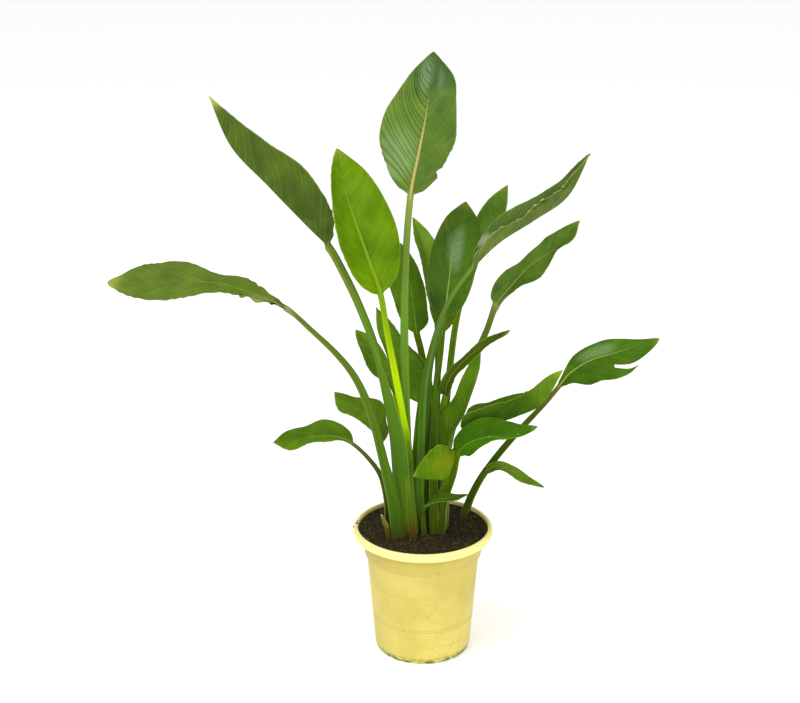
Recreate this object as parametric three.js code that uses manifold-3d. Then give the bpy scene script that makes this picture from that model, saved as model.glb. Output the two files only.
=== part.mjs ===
// A potted bird of paradise plant: a pale yellow nursery pot, its soil, and a clump of long-stalked
// leaves. Each leaf is one loft from its buried foot to the tip of its blade. Millimetres, +Z up, origin
// at the middle of the pot's base, +X to the right and -Y towards the front.
import * as THREE from "three";
import { mergeVertices } from "three/addons/utils/BufferGeometryUtils.js";
import Module from "manifold-3d";

const wasm = await Module();
wasm.setup();

// ---- Driving dimensions ----

const pot = {
  height: 160,
  rimRadius: 85,
  rimHeight: 10.5,
  mouthRadius: 79,
  collarTopRadius: 74,
  collarRadius: 71,
  collarHeight: 126,
  shoulderRadius: 68.6,
  baseRadius: 58,
  wall: 2.2,
  floor: 2.5,
  sides: 40,
};
const drain = { count: 6, radius: 5, ring: 42, sides: 8 };
const soil = { level: 158, crown: 2.5, lump: 1.6, rings: 6, spokes: 32, gap: 0.6 };
const foot = { depth: 33, rise: 10, holeGap: 0.35 };

// Thickness of a blade at its margin, and the rib that runs under its middle
const bladeThickness = 0.8;
const ribHalfWidth = { base: 2.4, tip: 0.8 };
const ribDepth = { base: 3.2, tip: 1.1 };
const stalkArc = THREE.MathUtils.degToRad(80);

// Where along the blade the half-widths below are given, and where its cross-sections stand
const widthStations = [0, 0.1, 0.25, 0.4, 0.55, 0.7, 0.85, 1];
const largeStations = [0.03, 0.1, 0.2, 0.32, 0.45, 0.58, 0.71, 0.84, 0.94];
const smallStations = [0.04, 0.14, 0.3, 0.48, 0.66, 0.82, 0.94];

const green = {
  deep: 0x3f6b1c,
  leaf: 0x4e7f2e,
  olive: 0x556b2f,
  bright: 0x6a9f17,
  lime: 0x9db81a,
};

// ---- The leaves ----
// foot: where the stalk enters the soil. stalk and blade: points along the midrib, the last point of the
// stalk being the start of the blade. left and right: the blade's half-widths. face: which way the upper
// side looks at the foot, at the start of the blade and at the tip. fold: how far each half is folded up
// from flat, at the start and the tip. curl: how much further it bends out to the margin. wave: height of
// the margin's waves, how many there are and where they start. thick: half-widths of the stalk at the
// soil, halfway and at the blade. plump: how many times deeper than usual the upper two thirds of the
// stalk are. tear: a split in one margin, at a place along the blade, that keeps a share of the half-width.
const leaves = [
  {
    name: "tall_leaf",
    colour: green.leaf,
    large: true,
    foot: [-8, -19],
    stalk: [
      [-17, -21, 225], [-20, -22, 293], [-22, -23, 356],
      [-23, -24, 430], [-21, -23, 513], [-16, -20, 577],
    ],
    blade: [[-7, -19, 625], [2, -14, 673], [9, 2, 733]],
    left: [6, 25, 41, 48, 45, 35, 21, 1],
    right: [6, 22, 32, 38, 36, 31, 25, 1],
    face: [[0, 1, 0], [-0.1, -1, 0.1], [-0.05, -1, 0.25]],
    fold: [14, 6],
    curl: 8,
    wave: [1.6, 3.2, 0.1],
    thick: [5.4, 5, 3.8],
    tear: { side: 1, at: 0.21, halfLength: 0.035, keep: 0.84 },
  },
  {
    name: "upper_left_leaf",
    colour: green.olive,
    large: true,
    foot: [-24, -17],
    stalk: [
      [-30, -19, 219], [-35, -26, 284], [-43, -28, 340], [-54, -28, 395],
      [-73, -22, 446], [-91, -16, 484], [-108, -12, 514],
    ],
    blade: [[-131, -8, 537], [-176, -2, 583], [-217, 2, 627], [-241, 6, 683]],
    left: [5, 34, 46, 49, 43, 36, 21, 1],
    right: [4, 22, 31, 35, 31, 25, 15, 1],
    face: [[0.6, 0.6, 0], [0.75, -0.1, 0.62], [0.8, -0.1, 0.5]],
    fold: [72, 74],
    curl: 4,
    wave: [1.5, 2.6, 0.4],
    thick: [9, 7.4, 5.6],
    plump: 1.5,
  },
  {
    name: "bright_leaf",
    colour: green.bright,
    large: true,
    foot: [-10, -28],
    stalk: [
      [-16, -30, 205], [-18, -34, 271], [-25, -36, 316],
      [-34, -37, 372], [-43, -36, 421], [-50, -34, 464],
    ],
    blade: [[-62, -33, 500], [-78, -32, 548], [-91, -26, 589], [-98, -14, 628]],
    left: [5, 23, 35, 38, 31, 24, 15, 1],
    right: [5, 27, 38, 42, 41, 36, 25, 1],
    face: [[0, 1, 0], [0.45, -0.9, 0.2], [0.35, -0.9, 0.3]],
    fold: [24, 18],
    curl: 12,
    wave: [1.2, 2.4, 0.6],
    thick: [4.8, 4.6, 3.6],
  },
  {
    name: "far_left_leaf",
    colour: green.leaf,
    large: true,
    foot: [-25, -29],
    stalk: [
      [-36, -31, 205], [-50, -38, 272], [-62, -44, 324], [-78, -48, 366],
      [-99, -51, 397], [-128, -54, 428], [-155, -56, 454],
    ],
    blade: [[-186, -57, 469], [-224, -58, 483], [-268, -58, 487], [-313, -55, 481], [-356, -50, 483]],
    left: [3, 4, 11, 22, 30, 32, 24, 1],
    right: [3, 8, 15, 13, 24, 28, 29, 1],
    face: [[-0.2, 0.95, 0], [0.1, -0.5, 0.85], [0.1, -0.45, 0.9]],
    fold: [16, 6],
    curl: 6,
    wave: [2, 2.4, 0.5],
    thick: [9, 5, 3.2],
  },
  {
    name: "upper_right_leaf",
    colour: green.olive,
    large: true,
    foot: [-0.4, -9],
    stalk: [
      [-5, -15, 214], [-4, -25, 274], [-2, -31, 334], [3, -34, 375],
      [12, -37, 416], [27, -40, 459], [53, -42, 499],
    ],
    blade: [[83, -41, 529], [122, -36, 553], [159, -28, 578], [183, -18, 623]],
    left: [4, 12, 22, 24, 22, 20, 13, 1],
    right: [4, 13, 16, 15, 19, 19, 10, 1],
    face: [[0, 1, 0], [-0.65, -0.05, 0.75], [-0.65, -0.05, 0.6]],
    fold: [55, 55],
    curl: 6,
    wave: [1.8, 3.4, 0.2],
    thick: [5.8, 5.6, 4.2],
  },
  {
    name: "dark_middle_leaf",
    colour: green.deep,
    large: true,
    foot: [2, 3],
    stalk: [[4, 2, 205], [5, -1, 271], [5, -3, 322], [7, -2, 364], [14, 6, 394], [23, 13, 420]],
    blade: [[29, 18, 463], [33, 22, 500], [41, 26, 529], [48, 32, 556]],
    left: [5, 18, 25, 27, 26, 23, 17, 1],
    right: [5, 18, 26, 30, 33, 31, 23, 1],
    face: [[0, 1, 0], [0, -1, 0.15], [0, -1, 0.2]],
    fold: [16, 10],
    curl: 8,
    wave: [1, 2, 0.3],
    thick: [4.6, 4, 3.6],
  },
  {
    name: "small_back_leaf",
    colour: green.leaf,
    large: false,
    foot: [16, 20],
    stalk: [[20, 22, 205], [25, 24, 277], [31, 29, 345], [36, 34, 391], [42, 39, 425]],
    blade: [[49, 42, 450], [60, 48, 482], [77, 54, 522], [98, 58, 569]],
    left: [3, 4, 7, 11, 17, 18, 13, 1],
    right: [3, 3, 4, 9, 17, 17, 13, 1],
    face: [[0, 1, 0], [-0.3, -0.9, 0.2], [-0.3, -0.9, 0.3]],
    fold: [24, 20],
    curl: 10,
    wave: [1, 2, 0.2],
    thick: [4.5, 4.4, 3.8],
  },
  {
    name: "dark_back_leaf",
    colour: green.deep,
    large: false,
    foot: [-4, 23],
    stalk: [[-1, 26, 205], [2, 32, 272], [3, 38, 334], [-3, 44, 370], [-8, 48, 390]],
    blade: [[-12, 54, 423], [-18, 58, 459], [-27, 58, 499]],
    left: [4, 14, 20, 23, 25, 23, 15, 1],
    right: [4, 15, 17, 17, 16, 14, 8, 1],
    face: [[0, 1, 0], [0, -1, 0.1], [0, -1, 0.2]],
    fold: [12, 12],
    curl: 8,
    wave: [1.2, 2.5, 0.4],
    thick: [5, 4.4, 4],
  },
  {
    name: "light_back_leaf",
    colour: green.leaf,
    large: false,
    foot: [8, 34],
    stalk: [[12, 37, 205], [16, 46, 268], [18, 57, 341], [17, 66, 395]],
    blade: [[12, 74, 431], [2, 82, 478], [-13, 88, 522]],
    left: [3, 7, 10, 9, 10, 8, 7, 1],
    right: [3, 12, 17, 21, 21, 19, 13, 1],
    face: [[0, 1, 0], [0.2, -1, 0.1], [0.2, -1, 0.2]],
    fold: [30, 30],
    curl: 10,
    wave: [1, 2.4, 0.1],
    thick: [4.5, 4, 3.6],
  },
  {
    name: "right_leaf",
    colour: green.leaf,
    large: true,
    foot: [26, 13],
    stalk: [
      [27, 14, 205], [31, 15, 260], [41, 17, 300], [53, 19, 333],
      [64, 22, 375], [75, 24, 403], [85, 26, 432],
    ],
    blade: [[100, 28, 452], [126, 28, 482], [152, 24, 501], [179, 18, 536]],
    left: [6, 16, 17, 12, 14, 17, 12, 1],
    right: [4, 4, 12, 22, 19, 5, 8, 1],
    face: [[0, 1, 0], [-0.3, -0.85, 0.4], [-0.3, -0.8, 0.4]],
    fold: [22, 20],
    curl: 10,
    wave: [2, 2.6, 0.3],
    thick: [5, 4.4, 3.7],
  },
  {
    name: "split_right_leaf",
    colour: green.leaf,
    large: true,
    foot: [40, 34],
    stalk: [[60, 46, 176], [73, 50, 201], [95, 54, 232], [122, 58, 264], [150, 62, 295], [167, 65, 316]],
    blade: [[180, 67, 332], [203, 69, 347], [230, 69, 356], [258, 68, 366], [286, 66, 377]],
    left: [4, 6, 15, 18, 19, 14, 6, 1],
    right: [4, 12, 31, 35, 36, 33, 17, 1],
    face: [[0, 1, 0], [-0.1, -0.7, 0.7], [-0.15, -0.7, 0.7]],
    fold: [10, 6],
    curl: 8,
    wave: [1.6, 2.6, 0.1],
    thick: [5.5, 4.2, 3],
    tear: { side: 1, at: 0.7, halfLength: 0.04, keep: 0.5 },
  },
  {
    name: "lower_right_leaf",
    colour: green.olive,
    large: true,
    foot: [19.6, -8],
    stalk: [[22, -11, 200], [29, -18, 240], [37, -25, 272], [47, -29, 292]],
    blade: [[60, -33, 301], [82, -39, 310], [108, -44, 321], [136, -46, 337], [159, -44, 376]],
    left: [5, 25, 26, 26, 24, 19, 13, 1],
    right: [5, 24, 25, 27, 25, 26, 19, 1],
    face: [[0, 1, 0], [-0.3, 0.2, 0.93], [-0.4, 0.15, 0.85]],
    fold: [58, 60],
    curl: 6,
    wave: [2, 3, 0.2],
    thick: [4.6, 4, 3.6],
  },
  {
    name: "bright_lower_leaf",
    colour: green.bright,
    large: true,
    foot: [18, -22],
    stalk: [[25, -22, 200], [35, -30, 240], [40, -42, 271]],
    blade: [[52, -54, 290], [74, -62, 301], [94, -66, 302], [112, -69, 306], [129, -71, 318]],
    left: [5, 14, 20, 23, 21, 18, 12, 1],
    right: [5, 9, 18, 12, 3, 2, 2, 1],
    face: [[0, 1, 0], [-0.2, -0.75, 0.65], [-0.2, -0.7, 0.7]],
    fold: [12, 12],
    curl: 6,
    wave: [1.6, 2.2, 0.3],
    thick: [5, 4.4, 4],
  },
  {
    name: "drooping_leaf",
    colour: green.leaf,
    large: false,
    foot: [38, 22],
    stalk: [[56, 31, 176], [68, 28, 202], [77, 24, 220]],
    blade: [[91, 16, 230], [107, 8, 227], [126, 0, 218], [146, -6, 212]],
    left: [4, 6, 7, 7, 7, 6, 4, 1],
    right: [4, 7, 8, 8, 8, 7, 5, 1],
    face: [[0, 1, 0], [-0.1, -0.6, 0.8], [0.3, -0.6, 0.8]],
    fold: [20, 20],
    curl: 10,
    wave: [1, 2, 0.3],
    thick: [5, 4, 3],
  },
  {
    name: "low_left_leaf",
    colour: green.leaf,
    large: false,
    foot: [-43, -3],
    stalk: [[-44, -3, 190], [-51, 2, 223], [-66, 6, 245], [-85, 11, 262]],
    blade: [[-102, 14, 269], [-127, 17, 269], [-152, 17, 265], [-181, 14, 262]],
    left: [3, 6, 9, 11, 14, 18, 15, 1],
    right: [3, 12, 19, 21, 16, 15, 11, 1],
    face: [[-0.5, 0.8, 0], [0, -0.5, 0.86], [0, -0.5, 0.86]],
    fold: [20, 10],
    curl: 8,
    wave: [1.4, 2.2, 0.2],
    thick: [4.5, 3.4, 2.6],
  },
  {
    name: "left_middle_leaf",
    colour: green.leaf,
    large: false,
    foot: [-28, -2],
    stalk: [[-33, 3, 195], [-44, 12, 233], [-51, 20, 258]],
    blade: [[-62, 28, 281], [-76, 36, 294], [-91, 44, 303], [-108, 52, 313]],
    left: [4, 6, 7, 11, 18, 22, 16, 1],
    right: [4, 13, 17, 26, 21, 11, 6, 1],
    face: [[0, 1, 0], [0.3, -0.8, 0.5], [0.2, -0.6, 0.8]],
    fold: [20, 16],
    curl: 10,
    wave: [1.4, 2.2, 0.2],
    thick: [4.5, 4, 3.4],
  },
  {
    name: "left_inner_leaf",
    colour: green.leaf,
    large: false,
    foot: [-17, 6],
    stalk: [[-24, 9, 205], [-29, 15, 270], [-33, 19, 322]],
    blade: [[-45, 26, 350], [-61, 32, 374], [-81, 40, 397]],
    left: [4, 6, 12, 19, 21, 16, 9, 1],
    right: [4, 6, 8, 9, 10, 10, 8, 1],
    face: [[0, 1, 0], [0.3, -0.9, 0.3], [0.3, -0.9, 0.3]],
    fold: [22, 20],
    curl: 10,
    wave: [1.2, 2, 0.2],
    thick: [4.5, 4, 3.6],
  },
  {
    name: "centre_leaf",
    colour: green.deep,
    large: false,
    foot: [-5, 14],
    stalk: [[-1, 14, 202], [7, 16, 262], [11, 21, 306]],
    blade: [[3, 23, 342], [-9, 23, 368], [-31, 21, 398], [-56, 21, 431]],
    left: [9, 28, 35, 36, 32, 24, 16, 1],
    right: [4, 11, 14, 14, 8, 4, 3, 1],
    face: [[0, 1, 0], [-0.5, -0.8, -0.33], [-0.5, -0.8, -0.3]],
    fold: [22, 18],
    curl: 6,
    wave: [1.5, 2.4, 0.6],
    thick: [5, 4.4, 4],
  },
  {
    name: "short_right_leaf",
    colour: green.leaf,
    large: false,
    foot: [13, 1],
    stalk: [[16, 5, 206], [20, 9, 262], [23, 12, 305], [26, 3, 327]],
    blade: [[28, -7, 346], [37, -11, 364], [54, -13, 383], [76, -11, 400], [99, -8, 413]],
    left: [5, 9, 8, 6, 6, 6, 4, 1],
    right: [5, 9, 12, 11, 8, 7, 6, 1],
    face: [[0, 1, 0], [-0.4, -0.9, 0.3], [-0.4, -0.8, 0.4]],
    fold: [40, 30],
    curl: 12,
    wave: [1.6, 2.4, 0.2],
    thick: [4.5, 4.6, 4.2],
  },
  {
    name: "narrow_leaf",
    colour: green.olive,
    large: false,
    foot: [26, 0],
    stalk: [[27, -1, 200], [25, -4, 226], [26, -6, 250]],
    blade: [[31, -5, 281], [47, -3, 311], [58, 2, 346], [66, 8, 386]],
    left: [5, 5, 4, 3, 3, 4, 4, 1],
    right: [4, 14, 19, 20, 16, 14, 9, 1],
    face: [[0, 1, 0], [0.2, 1, 0], [0.2, 1, 0]],
    fold: [4, 14],
    curl: 10,
    wave: [1.2, 2, 0.2],
    thick: [4.6, 4.6, 4.5],
  },
  {
    name: "yellow_leaf",
    colour: green.lime,
    large: false,
    foot: [10.4, -17],
    stalk: [[13, -24, 195], [21, -35, 222], [26, -42, 238]],
    blade: [[17, -50, 243], [2, -56, 246], [-13, -60, 250]],
    left: [4, 34, 41, 45, 46, 40, 26, 1],
    right: [4, 24, 30, 34, 34, 28, 18, 1],
    face: [[0, 1, 0], [0, 0.1, 1], [0, 0.1, 1]],
    fold: [74, 74],
    curl: 4,
    wave: [1, 1.5, 0.2],
    thick: [4, 4, 3.6],
  },
  {
    name: "soil_leaf",
    colour: green.leaf,
    large: false,
    foot: [2, -18],
    stalk: [[0, -27, 182], [2, -34, 200]],
    blade: [[14, -45, 213], [28, -49, 217], [40, -51, 219], [53, -51, 224]],
    left: [3, 6, 8, 9, 8, 6, 4, 1],
    right: [3, 6, 7, 8, 8, 5, 3, 1],
    face: [[0, 1, 0], [0, -0.3, 0.95], [0, -0.3, 0.95]],
    fold: [16, 16],
    curl: 8,
    wave: [0.8, 2, 0.1],
    thick: [3.5, 3.2, 3],
  },
  {
    name: "young_leaf",
    colour: green.bright,
    large: false,
    foot: [10.4, -9],
    stalk: [[11, -9, 215], [12, -9, 283], [14.5, -2, 336], [19.5, 14, 376], [22, 26, 399]],
    blade: [[26, 32, 430], [32, 35, 468], [38, 38, 508]],
    left: [4, 12, 19, 19, 17, 14, 9, 1],
    right: [4, 11, 16, 15, 13, 11, 8, 1],
    face: [[0, 1, 0], [-0.1, -1, 0.1], [-0.1, -1, 0.1]],
    fold: [10, 12],
    curl: 6,
    wave: [1, 1.6, 0.2],
    thick: [4, 4.2, 3.8],
  },
  {
    name: "dried_sheath",
    colour: 0xb59a4a,
    large: false,
    foot: [-38, -31],
    stalk: [[-44, -33, 172]],
    blade: [[-47, -34, 179], [-50, -35, 190]],
    left: [3, 3.4, 3.4, 3, 2.6, 2, 1.4, 1],
    right: [3, 3.4, 3.4, 3, 2.6, 2, 1.4, 1],
    face: [[0.3, 0.95, 0], [0.3, 0.95, 0], [0.3, 0.95, 0]],
    fold: [30, 40],
    curl: 8,
    wave: [0.3, 1.5, 0.2],
    thick: [3.2, 3, 3],
  },
];

// ---- Shared shapes ----

const lerp = THREE.MathUtils.lerp;
const radians = THREE.MathUtils.degToRad;

function smooth(t) {
  return t * t * (3 - 2 * t);
}

// A value read from an even-tempered curve through the given stations
function readProfile(stations, values, at) {
  let i = 1;
  while (i < stations.length - 1 && at > stations[i]) {
    i += 1;
  }
  const slope = (k) => {
    const a = Math.max(k - 1, 0);
    const b = Math.min(k + 1, stations.length - 1);
    return (values[b] - values[a]) / (stations[b] - stations[a]);
  };
  const span = stations[i] - stations[i - 1];
  const t = (at - stations[i - 1]) / span;
  const rise = values[i] - values[i - 1];
  const start = slope(i - 1) * span;
  const end = slope(i) * span;
  return values[i - 1] + start * t + (3 * rise - 2 * start - end) * t * t + (start + end - 2 * rise) * t ** 3;
}

// Closed mesh from rings of points: side walls, a flat cap on the first ring, and a cap or a point at the end
function loftGeometry(rings, columns, tip) {
  const size = rings[0].length;
  const positions = rings.flat().flatMap((point) => point.toArray());
  const index = [];
  for (let r = 0; r < rings.length - 1; r += 1) {
    for (let k = 0; k < size; k += 1) {
      const next = (k + 1) % size;
      const a = r * size + k;
      const b = r * size + next;
      const c = a + size;
      const d = b + size;
      // The diagonal runs the same way on the upper and the under side
      if (k < 2 * columns) {
        index.push(a, b, d, a, d, c);
      } else {
        index.push(a, b, c, b, d, c);
      }
    }
  }
  // Cap strips between the upper row and the lower row of a ring
  const cap = (offset, flip) => {
    for (let k = 0; k < 2 * columns; k += 1) {
      const a = offset + k;
      const b = offset + k + 1;
      const c = offset + size - 1 - k;
      const d = offset + size - 2 - k;
      const faces = flip ? [a, c, b, b, c, d] : [a, b, c, b, d, c];
      index.push(...faces);
    }
  };
  cap(0, true);
  if (tip) {
    const apex = positions.length / 3;
    positions.push(tip.x, tip.y, tip.z);
    const last = (rings.length - 1) * size;
    for (let k = 0; k < size; k += 1) {
      index.push(last + k, last + ((k + 1) % size), apex);
    }
  } else {
    cap((rings.length - 1) * size, false);
  }
  const geometry = new THREE.BufferGeometry();
  geometry.setAttribute("position", new THREE.Float32BufferAttribute(positions, 3));
  geometry.setIndex(index);
  return geometry;
}

// ---- One leaf ----

// The midrib's curve, and how far along it the blade starts
function leafRoute(leaf) {
  const [x, y] = leaf.foot;
  const root = new THREE.Vector3(x, y, soil.level - foot.depth);
  const first = new THREE.Vector3(...leaf.stalk[0]);
  const collar = root.clone().lerp(first, (foot.depth + foot.rise) / (first.z - root.z));
  const rest = [...leaf.stalk, ...leaf.blade].map((point) => new THREE.Vector3(...point));
  const curve = new THREE.CatmullRomCurve3([root, collar, ...rest], false, "catmullrom", 0.5);
  const divisions = 200;
  const lengths = curve.getLengths(divisions);
  const total = lengths[divisions];
  const lengthAtPoint = (pointNumber) => {
    const place = (pointNumber / (rest.length + 1)) * divisions;
    const low = Math.floor(place);
    const high = Math.min(low + 1, divisions);
    return lerp(lengths[low], lengths[high], place - low) / total;
  };
  return { curve, collar: lengthAtPoint(1), blade: lengthAtPoint(1 + leaf.stalk.length) };
}

// Axes of a cross-section: along the midrib, out of the upper side, and across to the right half
function sectionFrame(leaf, route, at) {
  const [atFoot, atBlade, atTip] = leaf.face.map((hint) => new THREE.Vector3(...hint).normalize());
  const up = new THREE.Vector3();
  if (at < route.blade) {
    up.lerpVectors(atFoot, atBlade, smooth(at / route.blade));
  } else {
    up.lerpVectors(atBlade, atTip, (at - route.blade) / (1 - route.blade));
  }
  const origin = route.curve.getPointAt(at);
  const along = route.curve.getTangentAt(at);
  up.addScaledVector(along, -up.dot(along)).normalize();
  const across = new THREE.Vector3().crossVectors(along, up);
  return { origin, along, up, across };
}

function place(frame, x, z) {
  return frame.origin.clone().addScaledVector(frame.across, x).addScaledVector(frame.up, z);
}

// Stalk section: rounded underneath, with a shallow groove along its upper side
function stalkRing(leaf, frame, at, columns, grow = 0) {
  const [low, middle, high] = leaf.thick;
  const halfWidth = at < 0.5 ? lerp(low, middle, smooth(at * 2)) : lerp(middle, high, smooth(at * 2 - 1));
  const plump = lerp(1, leaf.plump ?? 1, smooth(Math.min(1, Math.max(0, at * 3 - 1))));
  const halfDepth = plump * Math.min(0.72 * halfWidth, 2.6 + 0.2 * halfWidth);
  const upper = [];
  const lower = [];
  for (let j = -columns; j <= columns; j += 1) {
    const angle = (j / columns) * stalkArc;
    const x = halfWidth * Math.sin(angle);
    const groove = j === 0 ? 0.25 * halfDepth : 0;
    const top = 0.6 * halfDepth * Math.cos(angle) - groove;
    const bottom = -halfDepth * Math.cos(angle) - 0.05 * halfDepth;
    const stretch = 1 + grow / halfDepth;
    upper.push([x * (1 + grow / halfWidth), (top + groove) * stretch - groove + 0.7 * grow]);
    lower.unshift([x * (1 + grow / halfWidth), bottom * stretch - 0.2 * grow]);
  }
  return [...upper, ...lower].map(([x, z]) => place(frame, x, z));
}

// Half-width of the blade on one side, with any tear taken out of it
function halfWidthAt(leaf, side, at) {
  const width = Math.max(readProfile(widthStations, side < 0 ? leaf.left : leaf.right, at), 1.2);
  if (!leaf.tear || leaf.tear.side !== side) {
    return width;
  }
  const depth = Math.max(0, 1 - Math.abs(at - leaf.tear.at) / leaf.tear.halfLength);
  return width * (1 - (1 - leaf.tear.keep) * depth);
}

// Blade section: two halves folded up from the midrib, waved at the margins, with a rib underneath
function bladeRing(leaf, frame, at, columns) {
  const upper = [];
  const lower = [];
  const fold = radians(lerp(leaf.fold[0], leaf.fold[1], at));
  const curl = radians(leaf.curl);
  const [height, count, start] = leaf.wave;
  const rib = lerp(ribHalfWidth.base, ribHalfWidth.tip, at);
  const keel = lerp(ribDepth.base, ribDepth.tip, at);
  for (let j = -columns; j <= columns; j += 1) {
    if (j === 0) {
      upper.push([0, 0]);
      lower.unshift([0, -keel]);
      continue;
    }
    const side = Math.sign(j);
    const width = halfWidthAt(leaf, side, at);
    const ribEdge = Math.min(rib, 0.35 * width);
    const out = (Math.abs(j) - 1) / (columns - 1);
    const reach = lerp(ribEdge, width, out);
    const angle = fold + curl * out;
    const bend = fold + 0.5 * curl * out;
    const wave = height * out ** 2 * Math.sin(2 * Math.PI * (count * at + start + 0.2 * side));
    const x = reach * Math.cos(bend) - wave * Math.sin(angle);
    const z = reach * Math.sin(bend) + wave * Math.cos(angle);
    const thick = bladeThickness * (1.3 - 0.3 * out);
    upper.push([side * x, z]);
    lower.unshift([side * (x + thick * Math.sin(angle)), z - thick * Math.cos(angle)]);
  }
  return [...upper, ...lower].map(([x, z]) => place(frame, x, z));
}

// The blade's sections, with three of them at a tear in its margin
function sectionStations(leaf) {
  const plain = leaf.large ? largeStations : smallStations;
  if (!leaf.tear) {
    return plain;
  }
  const { at, halfLength } = leaf.tear;
  const clear = plain.filter((station) => Math.abs(station - at) > halfLength);
  return [...clear, at - halfLength, at, at + halfLength].sort((a, b) => a - b);
}

function leafGeometry(leaf) {
  const route = leafRoute(leaf);
  const columns = leaf.large ? 4 : 3;
  const stalkSections = leaf.large ? 7 : 5;
  const rings = [stalkRing(leaf, sectionFrame(leaf, route, 0), 0, columns)];
  for (let i = 0; i <= stalkSections; i += 1) {
    const at = lerp(route.collar, route.blade, i / stalkSections);
    rings.push(stalkRing(leaf, sectionFrame(leaf, route, at), at / route.blade, columns));
  }
  for (const at of sectionStations(leaf)) {
    const frame = sectionFrame(leaf, route, lerp(route.blade, 1, at));
    rings.push(bladeRing(leaf, frame, at, columns));
  }
  return loftGeometry(rings, columns, route.curve.getPointAt(1));
}

// The plain hole that a stalk's buried foot stands in, open at the top of the soil
function footHoleGeometry(leaf) {
  const route = leafRoute(leaf);
  const columns = leaf.large ? 4 : 3;
  const bottom = sectionFrame(leaf, route, 0);
  const top = sectionFrame(leaf, route, route.collar);
  bottom.origin.addScaledVector(bottom.along, -foot.holeGap);
  const rings = [
    stalkRing(leaf, bottom, 0, columns, foot.holeGap),
    stalkRing(leaf, top, route.collar / route.blade, columns, foot.holeGap),
  ];
  return loftGeometry(rings, columns);
}

// ---- Solids ----

function toManifold(geometry) {
  const bare = geometry.clone();
  bare.deleteAttribute("normal");
  bare.deleteAttribute("uv");
  const merged = mergeVertices(bare, 1e-4);
  const vertProperties = new Float32Array(merged.attributes.position.array);
  const triVerts = new Uint32Array(merged.index.array);
  return new wasm.Manifold(new wasm.Mesh({ numProp: 3, vertProperties, triVerts }));
}

function toGeometry(manifold) {
  const mesh = manifold.getMesh();
  const geometry = new THREE.BufferGeometry();
  geometry.setAttribute("position", new THREE.Float32BufferAttribute(mesh.vertProperties, 3));
  geometry.setIndex(Array.from(mesh.triVerts));
  geometry.computeVertexNormals();
  return geometry;
}

function namedMesh(name, geometry, colour, roughness) {
  geometry.computeVertexNormals();
  const material = new THREE.MeshStandardMaterial({ color: colour, roughness, metalness: 0 });
  const mesh = new THREE.Mesh(geometry, material);
  mesh.name = name;
  return mesh;
}

// Radius of the pot's outside below its shoulder
function potOuterRadius(z) {
  return lerp(pot.baseRadius, pot.shoulderRadius, z / pot.collarHeight);
}

function potGeometry() {
  const lip = pot.height - pot.rimHeight;
  const outline = [
    [0, 0],
    [pot.baseRadius - 2.5, 0],
    [pot.baseRadius, 2.5],
    [potOuterRadius(45), 45],
    [pot.shoulderRadius, pot.collarHeight - 2],
    [pot.collarRadius, pot.collarHeight],
    [pot.collarTopRadius, lip - 3],
    [pot.collarTopRadius + 3.5, lip],
    [pot.rimRadius - 2, lip],
    [pot.rimRadius, lip + 3],
    [pot.rimRadius - 0.4, pot.height - 3.5],
    [pot.rimRadius - 3, pot.height - 0.6],
    [pot.rimRadius - 4.8, pot.height],
    [pot.mouthRadius, pot.height - 1.5],
    [pot.mouthRadius, lip + 2],
    [pot.collarTopRadius - pot.wall, lip - 3],
    [pot.collarRadius - pot.wall, pot.collarHeight],
    [pot.shoulderRadius - pot.wall, pot.collarHeight - 2],
    [potOuterRadius(pot.floor) - pot.wall, pot.floor],
    [0, pot.floor],
  ].map(([radius, z]) => new THREE.Vector2(radius, z));
  const shell = new THREE.LatheGeometry(outline, pot.sides);
  shell.rotateX(Math.PI / 2);
  let body = toManifold(shell);
  for (let i = 0; i < drain.count; i += 1) {
    const angle = ((i + 0.5) / drain.count) * 2 * Math.PI;
    const bore = new THREE.CylinderGeometry(drain.radius, drain.radius, pot.floor * 4, drain.sides);
    bore.rotateX(Math.PI / 2);
    bore.translate(drain.ring * Math.cos(angle), drain.ring * Math.sin(angle), 0);
    body = body.subtract(toManifold(bore));
  }
  return toGeometry(body);
}

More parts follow.
